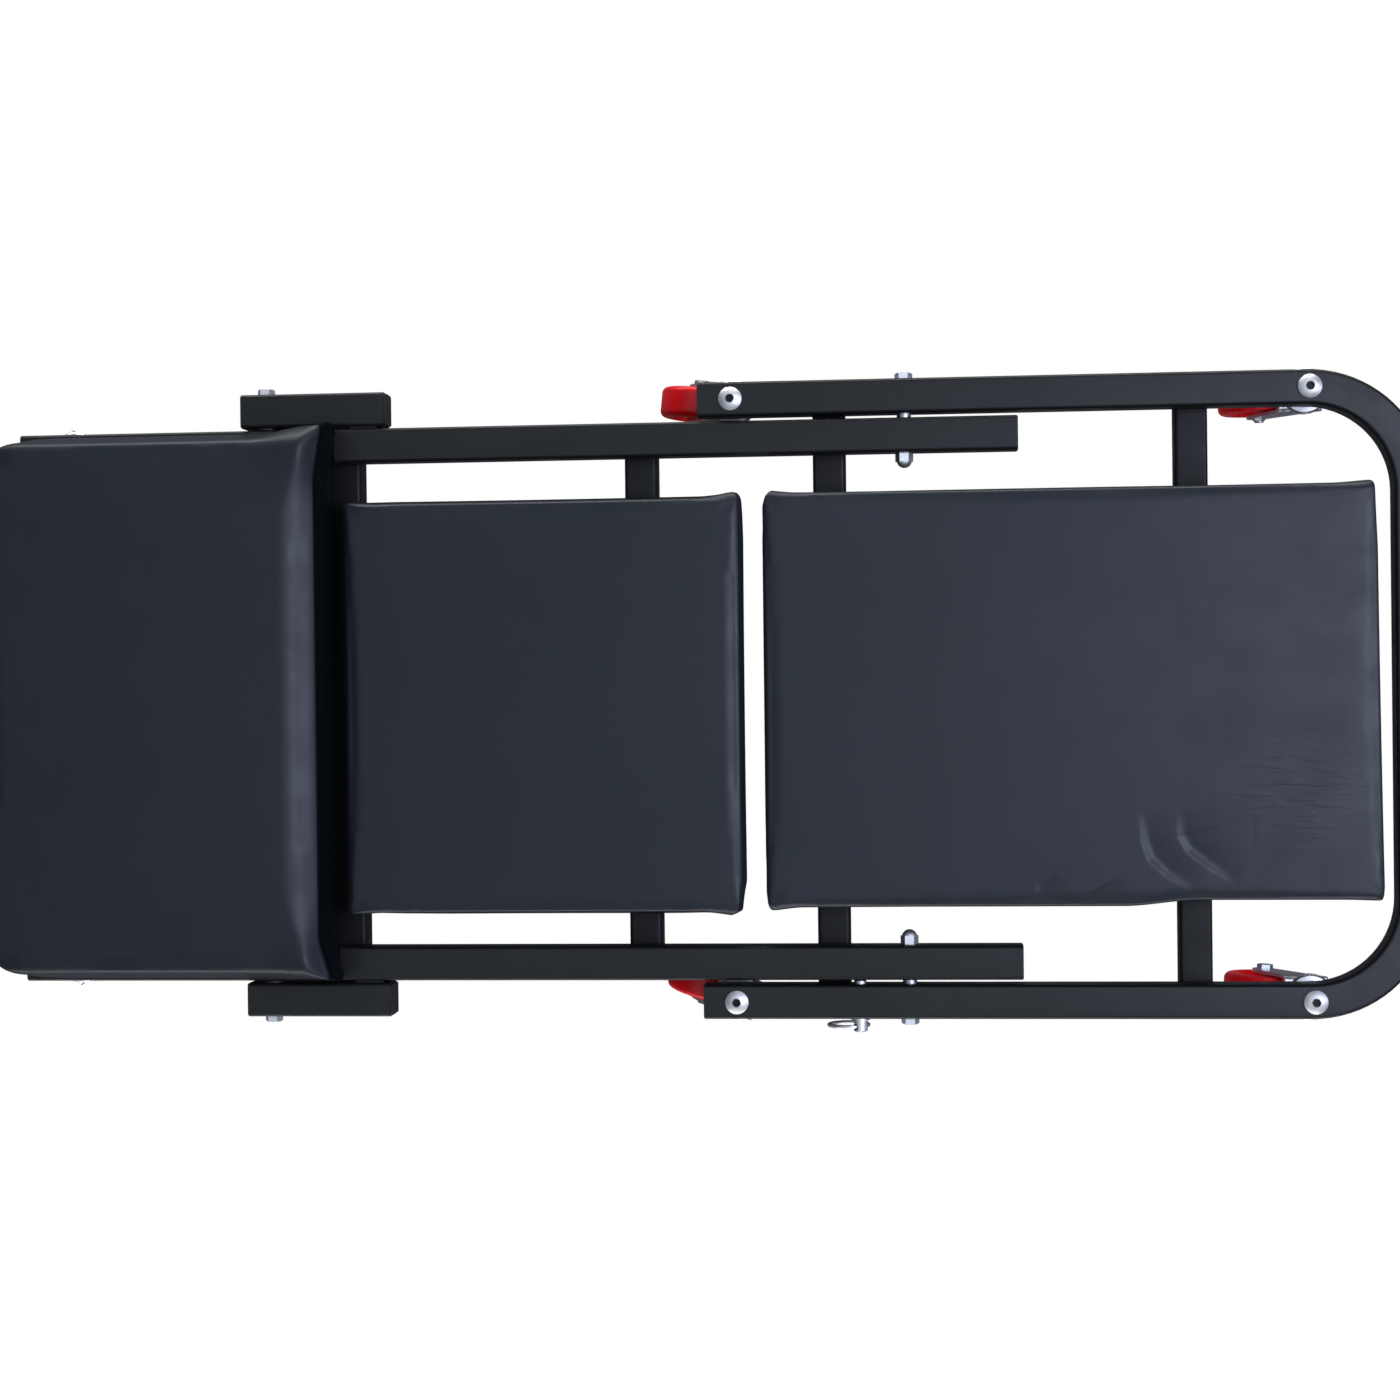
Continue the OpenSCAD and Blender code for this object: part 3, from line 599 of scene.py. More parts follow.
@dataclass(frozen=True)
class Plywood:
    """Bare plywood, with its grain along the part."""

    name: str
    pale: Colour = (0.46, 0.32, 0.18)
    dark: Colour = (0.30, 0.19, 0.10)

    def material(self) -> bpy.types.Material:
        """Builds the material.

        Returns:
            The material.
        """
        bench = NodeBench(self.name)
        bench.set(IOR=1.4)
        figure = bench.noise(26, 6, bench.stretched((0.25, 2.2, 2.2)))
        fibres = bench.noise(160, 4, bench.stretched((0.08, 3, 3)))
        share = bench.ranged(figure, 0, 1, 0.38, 0.64)
        bench.link(bench.between(share, self.pale, self.dark), "Base Color")
        bench.link(bench.ranged(fibres, 0.6, 0.8), "Roughness")
        bench.link(bench.relief(fibres, depth=0.0002, strength=0.5), "Normal")
        return bench.material


class Look(Enum):
    """The object's finishes."""

    FRAME = PowderCoat("frame_paint")
    # Painted shade: the bars lie below the rails, in their shade, so they get a darker, less glossy copy of
    # the frame paint. Their rougher finish is their own.
    BAR = PowderCoat(
        "bar_paint", colour=(0.0030, 0.0032, 0.0035), dusty=(0.0060, 0.0064, 0.0070),
        smoothest=0.42, roughest=0.54, gloss=0.28,
    )
    VINYL = Vinyl("vinyl")
    CREASED_VINYL = Vinyl("vinyl_creased", wrinkled=(0.372, -0.058, 0.097))
    # The seat's vinyl, with painted shade on its rear wall
    SEAT_VINYL = Vinyl("vinyl_seat", shaded_wall_node="seat_cushion")
    BOLT = Zinc("zinc_bolt", (0.95, 0.955, 0.96), (0.84, 0.85, 0.86), smoothest=0.36, roughest=0.50)
    HEAD = SocketHeads("button_heads", (0.97, 0.97, 0.97), (0.90, 0.90, 0.90), smoothest=0.44, roughest=0.54)
    SHEET = Zinc("zinc_sheet", (0.80, 0.81, 0.83), (0.64, 0.65, 0.67), smoothest=0.26, roughest=0.42)
    STEEL = Zinc("steel_small", (0.60, 0.61, 0.63), (0.46, 0.47, 0.49), smoothest=0.28, roughest=0.45)
    WHEEL = RedTyre("wheel_red")
    CAP = BlackPlastic("cap_plastic")
    BOARD = Plywood("board_wood")


class PaintShop:
    """Makes each finish once and gives it to CAD nodes and new pieces."""

    def __init__(self) -> None:
        """Builds every finish."""
        self.materials = {look: look.value.material() for look in Look}

    def finish_nodes(self, nodes: dict[str, Piece], slots: dict[str, str]) -> None:
        """Repaints every CAD node by its slot and smooths its round faces.

        Args:
            nodes: The CAD nodes by name.
            slots: The record's material slot of each node.
        """
        by_name = {look.value.name: look for look in Look}
        for name, node in nodes.items():
            look = Look.HEAD if name == Look.HEAD.value.node else by_name[slots[name]]
            dress(node, self.materials[look])
            self.round_off(node)

    @staticmethod
    def round_off(node: Piece, gap: float = 0.00001, angle: float = 28) -> None:
        """Joins a CAD node's loose triangles by modifier, so that curved faces shade smoothly.

        Args:
            node: The CAD node.
            gap: Points closer than this are one point, in metres.
            angle: Edges sharper than this stay sharp, in degrees.
        """
        node.data.polygons.foreach_set("use_smooth", [True] * len(node.data.polygons))
        weld = node.modifiers.new("weld", "WELD")
        weld.merge_threshold = gap
        split = node.modifiers.new("edges", "EDGE_SPLIT")
        split.split_angle = math.radians(angle)
        split.use_edge_sharp = False


# Cushions


@dataclass(frozen=True)
class Corner:
    """How the cover is folded at one corner of a pad, in metres.

    The side wall stands out by ear, along reach from the end. The end wall is drawn in by pinch, or
    pushed out where that is negative, along span from the side. The corner itself is pulled out by
    square and up by peak. The widths say how deep into the pad each of these goes.
    """

    ear: float = 0.0
    reach: float = 0.025
    pinch: float = 0.0
    span: float = 0.012
    ear_width: float = 0.006
    pinch_width: float = 0.008
    square: float = 0.0
    square_width: float = 0.0045
    peak: float = 0.0


@dataclass(frozen=True)
class Foam:
    """How the foam swells and how stiff the cover is, in the cloth simulation's own units.

    The cover is held up to a height above its lowest point, which is in metres.
    """

    pressure: float = 4.0
    frames: int = 20
    quality: int = 4
    mass: float = 0.4
    stretch: float = 30
    shear: float = 20
    bend: float = 6
    held: float = 0.004


@dataclass(frozen=True)
class Crease:
    """A soft fold in a cover, along a few points on its top."""

    points: tuple[Pair, ...]
    depth: float
    width: float = 0.0040
    length: float = 0.013

    def drop(self, x: float, y: float) -> float:
        """How far the cover sinks at one place.

        Args:
            x: Place along the part.
            y: Place across the part.

        Returns:
            The depth there, in metres. The cover sinks on one side of the fold only.
        """
        steps = list(zip(self.points, self.points[1:]))
        total = sum(math.dist(a, b) for a, b in steps)
        best, along, side = 1.0, 0.0, 1.0
        walked = 0.0
        for (ax, ay), (bx, by) in steps:
            run = math.dist((ax, ay), (bx, by))
            share = clamped(((x - ax) * (bx - ax) + (y - ay) * (by - ay)) / run**2)
            away = math.dist((x, y), (ax + (bx - ax) * share, ay + (by - ay) * share))
            if away < best:
                best, along = away, (walked + run * share) / total
                side = math.copysign(1.0, (x - ax) * (ay - by) - (y - ay) * (ax - bx))
            walked += run
        if side < 0:
            return 0.0
        fade = math.sin(math.pi * clamped(along))
        return self.depth * fade * (1 - bell(best / self.width)) * math.exp(-best / self.length)


# Shares of a cushion's height, from its top down, at which a corner's folds are full, the folds
# start to fade, and a corner's peak has gone
FOLD_FULL = 0.2
FOLD_FADES = 0.5
PEAK_GONE = 0.3
# Share of the folds that is lost by the cushion's foot
FOLD_LOST = 0.6


def clamped(value: float) -> float:
    """Keeps a share between 0 and 1."""
    return min(1.0, max(0.0, value))


def eased(value: float) -> float:
    """Eases a share from 0 to 1, flat at both ends."""
    value = clamped(value)
    return value * value * (3 - 2 * value)


def bell(value: float) -> float:
    """A smooth bump, 1 at 0 and close to 0 from 2 on."""
    return math.exp(-(value**2))


@dataclass
class Cushion:
    """A foam pad in a vinyl cover, stretched over its board.

    It is modelled as a rounded box, swollen by a cloth simulation, and then shaped by moves: the top is
    crowned, the sides pull in between the corners, and the cover is folded into ears at its corners.
    The corners are named by their end, front at -X and rear at +X, and by their side.
    All sizes are in metres. The cover is longer at its rear end than the CAD solid, and its foot there
    flares out. Its sides are slim by one amount all the way up, and taper by another from wall_low to
    wall_high. The rear end can be skewed, and the right edge tucked in towards it.
    """

    name: str
    body: str
    node: str
    front_radius: float
    rear_radius: float
    roll: float
    crown: float
    front_left: Corner = Corner()
    front_right: Corner = Corner()
    rear_left: Corner = Corner()
    rear_right: Corner = Corner()
    crown_fullness: float = 0.4
    draw: float = 0.0004
    shoulder: float = 0.0
    shoulder_drop: float = 0.0
    shoulder_run: float = 0.060
    shoulder_least: float = 0.3
    longer: float = 0.0
    flare: float = 0.0
    slim: float = 0.0
    taper: float = 0.0
    wall_low: float = 0.010
    wall_high: float = 0.043
    skew: float = 0.0
    tuck: float = 0.0
    tuck_start: float = 0.0
    tuck_run: float = 0.045
    voxel: float = 0.004
    inset: float = 0.0004
    slack: float = 0.0012
    foam: Foam = Foam()
    finish: Look = Look.VINYL

    def blank(self) -> Piece:
        """Makes a rounded box, a little smaller than the space that the cushion fills.

        Returns:
            The box.
        """
        low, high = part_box(self.node)
        inset = Vector((self.inset, self.inset, 0))
        top = high.z - self.crown - self.slack
        piece = add_box(self.name, low + inset, Vector((high.x + self.longer, high.y, top)) - inset)
        middle = (low.x + high.x) / 2

        def upright(a: Vector, b: Vector) -> bool:
            """Whether an edge goes up a corner."""
            return abs(a.z - b.z) > (top - low.z) / 2

        rim = top - TOLERANCE
        bevel_edges(piece, lambda a, b: upright(a, b) and a.x < middle, self.front_radius, steps=6)
        bevel_edges(piece, lambda a, b: upright(a, b) and a.x > middle, self.rear_radius, steps=4)
        bevel_edges(piece, lambda a, b: a.z > rim and b.z > rim, self.roll, steps=5)
        return piece

    def swell(self, piece: Piece) -> None:
        """Remeshes the blank and lets the foam push the cover out, by a short cloth simulation.

        The foam behind the cover keeps it from sinking in, so only its way outwards is kept.

        Args:
            piece: The blank.
        """
        make_active(piece)
        piece.data.remesh_voxel_size = self.voxel
        bpy.ops.object.voxel_remesh()
        before = [v.co.copy() for v in piece.data.vertices]
        facing = [v.normal.copy() for v in piece.data.vertices]
        limit = min(v.z for v in before) + self.foam.held
        held = piece.vertex_groups.new(name="held")
        held.add([i for i, v in enumerate(before) if v.z < limit], 1.0, "REPLACE")
        cloth = piece.modifiers.new("foam", "CLOTH")
        settings = cloth.settings
        settings.quality = self.foam.quality
        settings.mass = self.foam.mass
        settings.tension_stiffness = self.foam.stretch
        settings.compression_stiffness = self.foam.stretch
        settings.shear_stiffness = self.foam.shear
        settings.bending_stiffness = self.foam.bend
        settings.use_pressure = True
        settings.uniform_pressure_force = self.foam.pressure
        settings.vertex_group_mass = held.name
        settings.effector_weights.gravity = 0
        cloth.point_cache.frame_start = 1
        cloth.point_cache.frame_end = self.foam.frames
        for step in range(1, self.foam.frames + 1):
            bpy.context.scene.frame_set(step)
        make_active(piece)
        bpy.ops.object.modifier_apply(modifier=cloth.name)
        bpy.context.scene.frame_set(1)
        for vertex, start, normal in zip(piece.data.vertices, before, facing):
            out = (vertex.co - start).dot(normal)
            vertex.co = start + normal * min(self.slack, max(0.0, out))
        piece.vertex_groups.clear()

    def shape(self, piece: Piece) -> None:
        """Crowns the top, pulls the sides in, slopes the rear shoulder and folds the ears.

        Only the top third of the cushion is crowned and sloped.

        Args:
            piece: The swollen cushion.
        """
        low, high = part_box(self.node)
        centre = (low + high) / 2
        half = (high - low) / 2
        top = max(v.co.z for v in piece.data.vertices)
        for vertex in piece.data.vertices:
            x, y, z = vertex.co
            u, v = (x - centre.x) / half.x, (y - centre.y) / half.y
            lifted = clamped((z - low.z) / (top - low.z) * 3 - 2)
            dome = max(0.0, 1 - u * u) * max(0.0, 1 - v * v)
            new_x = x - self.draw * u * (1 - min(1.0, v * v)) * abs(u) ** 3
            new_y = y - self.draw * v * (1 - min(1.0, u * u)) * abs(v) ** 3
            new_x += self.skew * max(0.0, u) ** 2 * (1 - v) / 2
            new_y += self.tucked(x, y, centre, half) - v * (self.slim + self.taper * self.rise(z - low.z))
            new_x += self.flare * max(0.0, u) ** 4 * (1 - self.rise(z - low.z))
            shoulder = self.slope(high.x - x, half.y - abs(y - centre.y))
            new_z = z + (self.crown * dome**self.crown_fullness - shoulder) * lifted
            vertex.co = Vector((new_x, new_y, new_z)) + self.folded(Vector((x, y, z)), centre, half, top)

    def rise(self, height: float) -> float:
        """The share of the way up the walls at one height above the cushion's underside."""
        return clamped((height - self.wall_low) / (self.wall_high - self.wall_low))

    def tucked(self, x: float, y: float, centre: Vector, half: Vector) -> float:
        """How far the right edge is drawn in at one place, towards the rear end.

        Args:
            x: Place along the part.
            y: Place across the part.
            centre: The cushion's centre.
            half: Half its sizes.

        Returns:
            The way inwards, in metres.
        """
        near_edge = eased(1 - (y - centre.y + half.y) / self.tuck_run)
        return self.tuck * near_edge * eased((x - self.tuck_start) / self.tuck_run)

    def slope(self, from_end: float, from_side: float) -> float:
        """How far the rear shoulder slopes down at one place. It is narrow at the corners.

        Args:
            from_end: Distance from the rear edge.
            from_side: Distance from the nearer side edge.

        Returns:
            The drop, in metres.
        """
        spread = eased(from_side / self.shoulder_run)
        wide = self.shoulder * (self.shoulder_least + (1 - self.shoulder_least) * spread)
        if not wide or from_end >= wide:
            return 0.0
        return self.shoulder_drop * (1 - max(0.0, from_end) / wide) ** 1.5

    def folded(self, start: Vector, centre: Vector, half: Vector, top: float) -> Vector:
        """Works out the folds' move at one place: out into an ear, in or out at the end, up to a peak.

        The folds start under the top, and the walls keep less of them further down.

        Args:
            start: The place in the swollen cushion.
            centre: The cushion's centre.
            half: Half its sizes.
            top: Height of its top before the crown.

        Returns:
            The move.
        """
        to_rear, to_left = start.x > centre.x, start.y > centre.y
        pairs = ((self.front_right, self.front_left), (self.rear_right, self.rear_left))
        corner = pairs[to_rear][to_left]
        from_end = half.x - abs(start.x - centre.x)
        from_side = half.y - abs(start.y - centre.y)
        height = (top - start.z) / max(top - (centre.z - half.z), 1e-6)
        wall = eased(height / FOLD_FULL) * (1 - FOLD_LOST * eased((height - FOLD_FADES) / (1 - FOLD_FADES)))
        out = corner.ear * eased(1 - from_end / corner.reach) * bell(from_side / corner.ear_width)
        pull = corner.pinch * eased(1 - from_side / corner.span) * bell(from_end / corner.pinch_width)
        point = corner.square * bell(from_end / corner.square_width) * bell(from_side / corner.square_width)
        along = math.copysign(1, start.x - centre.x) * (point - pull * wall)
        across = math.copysign(1, start.y - centre.y) * (point + out * wall)
        peak = corner.peak * eased(1 - from_end / corner.reach) * eased(1 - from_side / corner.reach)
        return Vector((along, across, peak * (1 - eased(height / PEAK_GONE))))

    def crease(self, piece: Piece) -> None:
        """Presses in creases. A plain cushion has none."""

    def build(self, shop: PaintShop) -> Piece:
        """Makes the finished cushion and puts it in place of its CAD solid.

        Args:
            shop: The finishes.

        Returns:
            The cushion.
        """
        piece = self.blank()
        self.swell(piece)
        make_active(piece)
        finer = piece.modifiers.new("finer", "SUBSURF")
        finer.levels = finer.render_levels = 1
        bpy.ops.object.modifier_apply(modifier=finer.name)
        self.shape(piece)
        self.crease(piece)
        smooth(piece, angle=60)
        dress(piece, shop.materials[self.finish])
        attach(piece, self.body)
        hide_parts(self.node)
        log.info("cushion %s: %d faces", self.name, len(piece.data.polygons))
        return piece


@dataclass
class CreasedPad(Cushion):
    """The large pad, whose cover is creased near its foot end."""

    creases: tuple[Crease, ...] = ()
    zone: tuple[Point, Point] = ((0, 0, 0), (0, 0, 0))

    def crease(self, piece: Piece) -> None:
        """Makes the mesh finer where the creases lie and presses them in.

        Args:
            piece: The cushion.
        """
        low, high = self.zone
        mesh = piece.data
        select_none(mesh)
        for face in mesh.polygons:
            face.select = all(a < c < b for a, c, b in zip(low, face.center, high))
        make_active(piece)
        bpy.ops.object.mode_set(mode="EDIT")
        bpy.ops.mesh.select_mode(type="FACE")
        bpy.ops.mesh.subdivide(number_cuts=1, smoothness=1)
        bpy.ops.object.mode_set(mode="OBJECT")
        for vertex in mesh.vertices:
            x, y, z = vertex.co
            if all(a < c < b for a, c, b in zip(low, vertex.co, high)):
                vertex.co.z = z - sum(fold.drop(x, y) for fold in self.creases)


# Welds


@dataclass
class Weld:
    """One welded corner: a rippled bead between two points.

    At its tips, on each ripple's crest and in each valley it is as thick as a share of its radius.
    """

    start: Point
    end: Point
    radius: float = 0.0021
    pitch: float = 0.0020
    sides: int = 10
    tip: float = 0.55
    crest: float = 1.06
    valley: float = 0.86

    def build(self) -> Piece:
        """Draws the bead out ring by ring, each ripple fuller than the valley before it.

        Returns:
            The bead.
        """
        deselect_all()
        run = Vector(self.end) - Vector(self.start)
        turn = run.to_track_quat("Z", "Y").to_euler()
        bpy.ops.mesh.primitive_circle_add(
            vertices=self.sides, radius=self.radius * self.tip, fill_type="NGON", location=self.start,
            rotation=turn,
        )
        bead = bpy.context.object
        bpy.ops.object.transform_apply(location=True, rotation=True, scale=True)
        bpy.ops.object.mode_set(mode="EDIT")
        bpy.ops.mesh.select_all(action="SELECT")
        steps = max(4, round(run.length / self.pitch) * 2)
        size = self.tip
        place = Vector(self.start)
        for step in range(1, steps + 1):
            place += run / steps
            bpy.ops.mesh.extrude_region_move(TRANSFORM_OT_translate={"value": run / steps})
            ripple = self.crest if step % 2 else self.valley
            wanted = self.tip if step == steps else ripple
            grow = wanted / size
            bpy.ops.transform.resize(value=(grow, grow, grow), center_override=place)
            size = wanted
        bpy.ops.object.mode_set(mode="OBJECT")
        outward(bead)
        return bead


def join(pieces: Sequence[Piece], name: str) -> Piece:
    """Joins pieces into one object.

    Args:
        pieces: The pieces, at least one.
        name: Name of the joined object.

    Returns:
        The joined object.
    """
    make_active(pieces[0])
    for piece in pieces:
        piece.select_set(True)
    bpy.ops.object.join()
    joined = bpy.context.object
    joined.name = name
    return joined


@dataclass
class FrameWelds:
    """The weld beads of one frame: under its rails, along both sides of each bar."""

    body: str
    rail: str
    bars: tuple[str, ...]
    inset: float = 0.0015
    sunk: float = 0.0008

    def beads(self) -> list[Weld]:
        """Lists the beads where the bars cross under the rails. The first bar has the plain width.

        Returns:
            The beads.
        """
        low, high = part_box(self.rail)
        tube = high.z - low.z
        plain_low, plain_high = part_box(self.bars[0])
        width = plain_high.x - plain_low.x
        inner, outer = high.y - tube + self.inset, high.y - self.inset
        beads = []
        for bar in self.bars:
            bar_low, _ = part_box(bar)
            for x in (bar_low.x, bar_low.x + width):
                if not low.x < x < high.x:
                    continue
                for side in (-1, 1):
                    z = low.z - self.sunk
                    beads.append(Weld((x, inner * side, z), (x, outer * side, z)))
        return beads

    def build(self, shop: PaintShop) -> Piece:
        """Builds all the beads as one painted piece.

        Args:
            shop: The finishes.

        Returns:
            The piece.
        """
        piece = join([weld.build() for weld in self.beads()], f"welds_{self.body}")
        smooth(piece, angle=50)
        dress(piece, shop.materials[Look.FRAME])
        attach(piece, self.body)
        log.info("welds on %s: %d faces", self.body, len(piece.data.polygons))
        return piece


# The folded edge of each cover, under its board


@dataclass
class Hem:
    """The cover's edge, folded under the board and stapled to it.

    The strips stop at the tubes that the board lies on, because there the fold is squeezed flat.
    """

    name: str
    body: str
    board: str
    tubes: tuple[Pair, ...] = ()
    side_inset: float = 0.0
    width: float = 0.020
    thickness: float = 0.0007
    tube_gap: float = 0.0004
    shortest: float = 0.008
    rounding: float = 0.0003
    staple_pitch: float = 0.034
    staple_half: float = 0.0052
    wire: float = 0.0005

    def runs(self, low: float, high: float) -> list[Pair]:
        """Splits a stretch along X at the tubes.

        Args:
            low: Start of the stretch.
            high: End of the stretch.

        Returns:
            The stretches clear of the tubes.
        """
        pieces = []
        start = low
        for tube_low, tube_high in self.tubes:
            if tube_low > start:
                pieces.append((start, min(tube_low - self.tube_gap, high)))
            start = max(start, tube_high + self.tube_gap)
        if start < high:
            pieces.append((start, high))
        return [run for run in pieces if run[1] - run[0] > self.shortest]

    def strips(self) -> list[tuple[Point, Point]]:
        """Lists the strips. A board with tubes along its sides has strips at its two ends only.

        Returns:
            Each strip's lowest and highest corner.
        """
        low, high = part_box(self.board)
        top, under = low.z, low.z - self.thickness
        right, left = low.y + self.side_inset, high.y - self.side_inset
        found = []
        if not self.side_inset:
            for start, end in self.runs(low.x + self.width, high.x - self.width):
                found.append(((start, right, under), (end, right + self.width, top)))
                found.append(((start, left - self.width, under), (end, left, top)))
        for start, end in self.runs(low.x, low.x + self.width) + self.runs(high.x - self.width, high.x):
            found.append(((start, right, under), (end, left, top)))
        return found

    def staple(self, x: float, y: float, z: float, along_x: bool) -> Piece:
        """One wire staple, pressed into the hem.

        Args:
            x: Its place along the part.
            y: Its place across the part.
            z: The underside of the hem.
            along_x: Whether its crown lies along X.

        Returns:
            The staple.
        """
        half_x, half_y = (self.staple_half, self.wire) if along_x else (self.wire, self.staple_half)
        low = (x - half_x, y - half_y, z - self.wire)
        crown = add_box("staple", low, (x + half_x, y + half_y, z + self.rounding))
        bevel_edges(crown, lambda a, b: a.z < z and b.z < z, self.rounding, steps=2)
        return crown

    def staple_row(self, low: Point, high: Point) -> list[Piece]:
        """Staples one strip along its middle, at an even pitch.

        Args:
            low: The strip's lowest corner.
            high: The strip's highest corner.

        Returns:
            The staples.
        """
        long_x, long_y = high[0] - low[0], high[1] - low[1]
        along_x = long_x > long_y
        count = max(1, round(max(long_x, long_y) / self.staple_pitch))
        row = []
        for i in range(count):
            share = (i + 0.5) / count
            x = low[0] + long_x * (share if along_x else 0.5)
            y = low[1] + long_y * (0.5 if along_x else share)
            row.append(self.staple(x, y, low[2], along_x))
        return row

    def build(self, shop: PaintShop) -> None:
        """Builds the hem and its staples.

        Args:
            shop: The finishes.
        """
        strips, staples = [], []
        for low, high in self.strips():
            strip = add_box("strip", low, high)
            middle = (low[2] + high[2]) / 2
            bevel_edges(strip, lambda a, b: a.z < middle and b.z < middle, self.rounding, steps=2)
            strips.append(strip)
            staples += self.staple_row(low, high)
        hem = join(strips, f"{self.name}_hem")
        dress(hem, shop.materials[Look.VINYL])
        wires = join(staples, f"{self.name}_staples")
        dress(wires, shop.materials[Look.STEEL])
        for piece in (hem, wires):
            smooth(piece, angle=40)
            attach(piece, self.body)
        log.info("hem %s: %d strips, %d staples", self.name, len(strips), len(staples))


# Light, floor and camera


# Colours of light
NEUTRAL = (1.0, 1.0, 1.0)
COOL = (0.90, 1.0, 1.13)
BLUISH = (0.88, 0.95, 1.25)


@dataclass(frozen=True)
class SoftBox:
    """A soft lamp, with its place, aim and size in metres and its power in watts."""

    name: str
    place: Point
    aim: Point
    size: Pair
    power: float
    colour: Colour = NEUTRAL

    def build(self) -> None:
        """Hangs the lamp in its place and turns it to its aim."""
        data = bpy.data.lights.new(self.name, "AREA")
        data.shape = "RECTANGLE"
        data.size, data.size_y = self.size
        data.energy = self.power
        data.color = self.colour
        lamp = bpy.data.objects.new(self.name, data)
        bpy.context.scene.collection.objects.link(lamp)
        direction = Vector(self.aim) - Vector(self.place)
        turn = direction.to_track_quat("-Z", "Y").to_matrix().to_4x4()
        lamp.matrix_world = Matrix.Translation(self.place) @ turn


LAMPS = (
    SoftBox("ceiling", (-0.1, 0, 2.7), (-0.1, 0, 0), (4, 4), 25.5, COOL),
    SoftBox("key", (1.45, 0.1, 2.2), (0.25, 0, 0.08), (1.2, 1.4), 27, BLUISH),
    SoftBox("low", (2.2, 0.0, 1.0), (0, 0, 0.08), (0.5, 1.6), 5, BLUISH),
    SoftBox("left", (-0.1, 1.4, 0.16), (-0.1, 0, 0.05), (2.0, 0.2), 17),
    SoftBox("right", (-0.1, -1.4, 0.16), (-0.1, 0, 0.05), (2.0, 0.2), 12),
)


@dataclass
class Studio:
    """A pale floor, plain soft light and the camera high over the creeper.

    The camera's tilt is in degrees about X, Y and Z. Its focal length is in pixels of the picture.
    """

    camera_place: Point = (0.1583, 0.0120, 1.7535)
    tilt: Point = (0.388, -5.412, 0.634)
    focal_px: float = 2601.35
    image_px: float = 1400
    sensor: float = 36.0
    nearest: float = 0.05
    furthest: float = 30
    sky_light: float = 0.09
    floor_size: float = 12
    floor_shade: float = 0.22

    def camera(self) -> None:
        """Sets the camera as the photograph was taken: nearly straight down, tilted to the seat."""
        data = bpy.data.cameras.new("camera")
        data.sensor_width = self.sensor
        data.lens = self.sensor * self.focal_px / self.image_px
        data.clip_start, data.clip_end = self.nearest, self.furthest
        camera = bpy.data.objects.new("camera", data)
        bpy.context.scene.collection.objects.link(camera)
        angles = [-math.radians(a) for a in self.tilt]
        turn = Euler(angles, "ZYX").to_matrix().to_4x4()
        camera.matrix_world = Matrix.Translation(self.camera_place) @ turn
        bpy.context.scene.camera = camera

    def world(self) -> None:
        """Makes a dim even sky, which the camera sees as pure white."""
        world = bpy.data.worlds.new("sky")
        bpy.context.scene.world = world
        world.use_nodes = True
        tree = world.node_tree
        tree.nodes.clear()
        output = tree.nodes.new("ShaderNodeOutputWorld")
        path = tree.nodes.new("ShaderNodeLightPath")
        dim = tree.nodes.new("ShaderNodeBackground")
        dim.inputs["Color"].default_value = (*COOL, 1)
        dim.inputs["Strength"].default_value = self.sky_light
        white = tree.nodes.new("ShaderNodeBackground")
        white.inputs["Color"].default_value = (*NEUTRAL, 1)
        white.inputs["Strength"].default_value = 1.0
        mix = tree.nodes.new("ShaderNodeMixShader")
        tree.links.new(path.outputs["Is Camera Ray"], mix.inputs["Fac"])
        tree.links.new(dim.outputs["Background"], mix.inputs[1])
        tree.links.new(white.outputs["Background"], mix.inputs[2])
        tree.links.new(mix.outputs["Shader"], output.inputs["Surface"])

    def floor(self) -> None:
        """Lays a wide floor, which the camera sees as pure white and the light meets as grey."""
        deselect_all()
        bpy.ops.mesh.primitive_plane_add(size=self.floor_size, location=(0, 0, 0))
        floor = bpy.context.object
        floor.name = "floor"
        bench = NodeBench("floor")
        bench.set(Roughness=0.9, Specular_IOR_Level=0.1)
        bench.set(Base_Color=(self.floor_shade, self.floor_shade, self.floor_shade, 1))
        tree = bench.tree
        glow = tree.nodes.new("ShaderNodeEmission")
        glow.inputs["Strength"].default_value = 1.0
        path = tree.nodes.new("ShaderNodeLightPath")
        mix = tree.nodes.new("ShaderNodeMixShader")
        tree.links.new(path.outputs["Is Camera Ray"], mix.inputs["Fac"])
        tree.links.new(bench.shader.outputs["BSDF"], mix.inputs[1])
        tree.links.new(glow.outputs["Emission"], mix.inputs[2])
        tree.links.new(mix.outputs["Shader"], bench.output.inputs["Surface"])
        dress(floor, bench.material)

    def build(self) -> None:
        """Sets up the whole studio."""
        bpy.context.scene.view_settings.view_transform = "Standard"
        self.camera()
        self.world()
        self.floor()
        for lamp in LAMPS:
            lamp.build()


# The creeper's own cushions, welds and hems


def seat_cushion() -> Cushion:
    """Describes the thick seat cushion, with a sloping rear shoulder between two tall ears.

    Returns:
        The cushion, not yet built.
    """
    return Cushion(
        "seat_cover", "seat", "seat_cushion", finish=Look.SEAT_VINYL,
        front_radius=0.026, rear_radius=0.002, roll=0.0045, crown=0.003,
        rear_left=Corner(ear=0.0065, reach=0.045, pinch=-0.0035, span=0.030, square=0.0025, peak=0.0045),
        rear_right=Corner(ear=0.0018, reach=0.035, pinch=-0.0060, span=0.030, square=0.0025, peak=0.0045),
        shoulder=0.021, shoulder_drop=0.0075, longer=0.0012, flare=0.0020, slim=0.0026, taper=0.0048,
    )


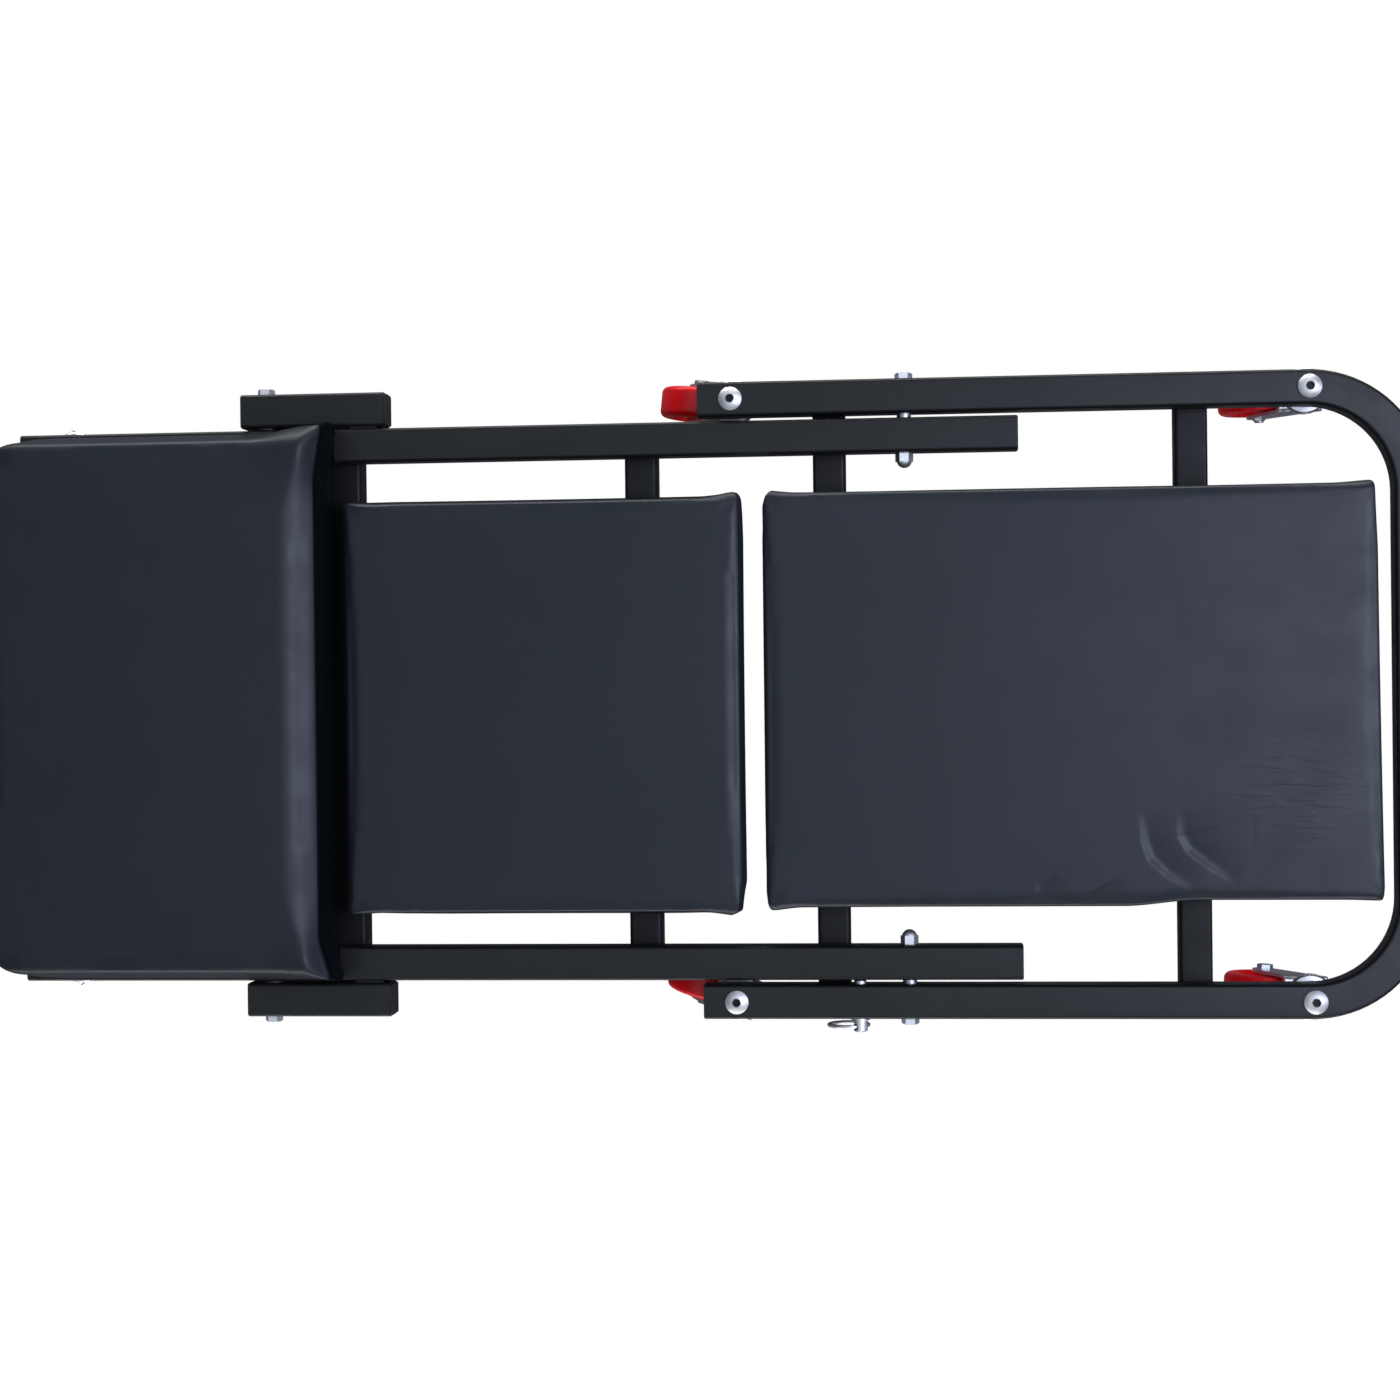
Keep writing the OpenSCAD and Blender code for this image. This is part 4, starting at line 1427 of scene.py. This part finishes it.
def middle_cushion() -> Cushion:
    """Describes the thin pad on the middle frame.

    Returns:
        The cushion, not yet built.
    """
    return Cushion(
        "middle_cover", "middle", "middle_pad", voxel=0.0035,
        front_radius=0.003, rear_radius=0.002, roll=0.0025, crown=0.0012,
        front_left=Corner(ear=0.001), front_right=Corner(ear=0.001),
        rear_left=Corner(ear=0.0034, reach=0.028, pinch=0.0015),
        rear_right=Corner(ear=0.0022, reach=0.03, pinch=0.0055, span=0.022),
        longer=0.0012, slim=0.0014, taper=0.0008, wall_high=0.018,
    )


def large_cushion() -> CreasedPad:
    """Describes the long thin pad on the base frame, skewed and creased at its foot end.

    Returns:
        The cushion, not yet built.
    """
    return CreasedPad(
        "large_cover", "base", "base_pad", voxel=0.0035, finish=Look.CREASED_VINYL,
        front_radius=0.003, rear_radius=0.002, roll=0.0025, crown=0.0012,
        front_left=Corner(ear=0.0015, pinch=0.0035, span=0.010),
        front_right=Corner(ear=0.002, pinch=0.0015),
        rear_left=Corner(ear=0.0014, reach=0.030, pinch=0.0024, span=0.045),
        rear_right=Corner(ear=0.0006, pinch=0.0010, span=0.010),
        skew=0.0026, tuck=0.0036, tuck_start=0.270,
        creases=large_pad_creases(), zone=((0.19, -0.1325, 0.088), (0.35, -0.060, 0.2)),
    )


def large_pad_creases() -> tuple[Crease, ...]:
    """Lists the folds near the foot end of the large pad: two short ones, then two long bowed ones.

    Returns:
        The folds.
    """
    first = ((0.223, -0.108), (0.2135, -0.1175), (0.209, -0.131))
    second = ((0.265, -0.113), (0.247, -0.123), (0.232, -0.131))
    third = ((0.277, -0.072), (0.279, -0.092), (0.283, -0.104), (0.294, -0.1145), (0.312, -0.1245))
    fourth = ((0.301, -0.072), (0.3015, -0.089), (0.307, -0.099), (0.3175, -0.1072), (0.337, -0.121))
    return (
        Crease(first, depth=0.0010, width=0.0024),
        Crease(second, depth=0.0013, width=0.0024),
        Crease(third, depth=0.0027),
        Crease(fourth, depth=0.0025),
    )


def welds() -> tuple[FrameWelds, ...]:
    """Lists the frames that have weld beads.

    Returns:
        The welds of the base frame and of the middle frame.
    """
    return (
        FrameWelds("base", "base_frame", ("base_bar_inner", "base_bar_outer")),
        FrameWelds("middle", "middle_rail_left", ("middle_bar_inner", "middle_bar_seat")),
    )


def spans(*tubes: str) -> tuple[Pair, ...]:
    """Finds where some cross tubes lie along X.

    Args:
        tubes: The tubes' nodes.

    Returns:
        Each tube's lowest and highest X, in order.
    """
    boxes = [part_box(tube) for tube in tubes]
    return tuple(sorted((low.x, high.x) for low, high in boxes))


def hems(gap: float = 0.0005) -> tuple[Hem, ...]:
    """Lists the folded edges under the three boards, clear of the tubes that carry them.

    Args:
        gap: Room between the seat's side tubes and its hem, in metres.

    Returns:
        The hems.
    """
    tube_low, tube_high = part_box("seat_tube_left")
    tube_width = tube_high.y - tube_low.y
    base_bars = spans("base_bar_inner", "base_bar_outer")
    middle_bars = spans("middle_bar_seat", "middle_bar_inner")
    return (
        Hem("large", "base", "base_pad_board", base_bars),
        Hem("middle", "middle", "middle_pad_board", middle_bars),
        Hem("seat", "seat", "seat_board", side_inset=tube_width + gap),
    )


def main() -> None:
    """Builds the scene in order."""
    logging.basicConfig(level=logging.INFO, format="%(name)s: %(message)s")
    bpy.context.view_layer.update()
    studio = Studio()
    studio.build()
    log.info("studio set up")
    shop = PaintShop()
    slots = {part["node"]: part["material_slot"] for part in frame["record"]["subparts"]}
    shop.finish_nodes(frame["nodes"], slots)
    log.info("%d CAD nodes finished", len(frame["nodes"]))
    for cushion in (seat_cushion(), middle_cushion(), large_cushion()):
        cushion.build(shop)
    for weld in welds():
        weld.build(shop)
    for hem in hems():
        hem.build(shop)
    deselect_all()


if __name__ == "__main__":
    main()
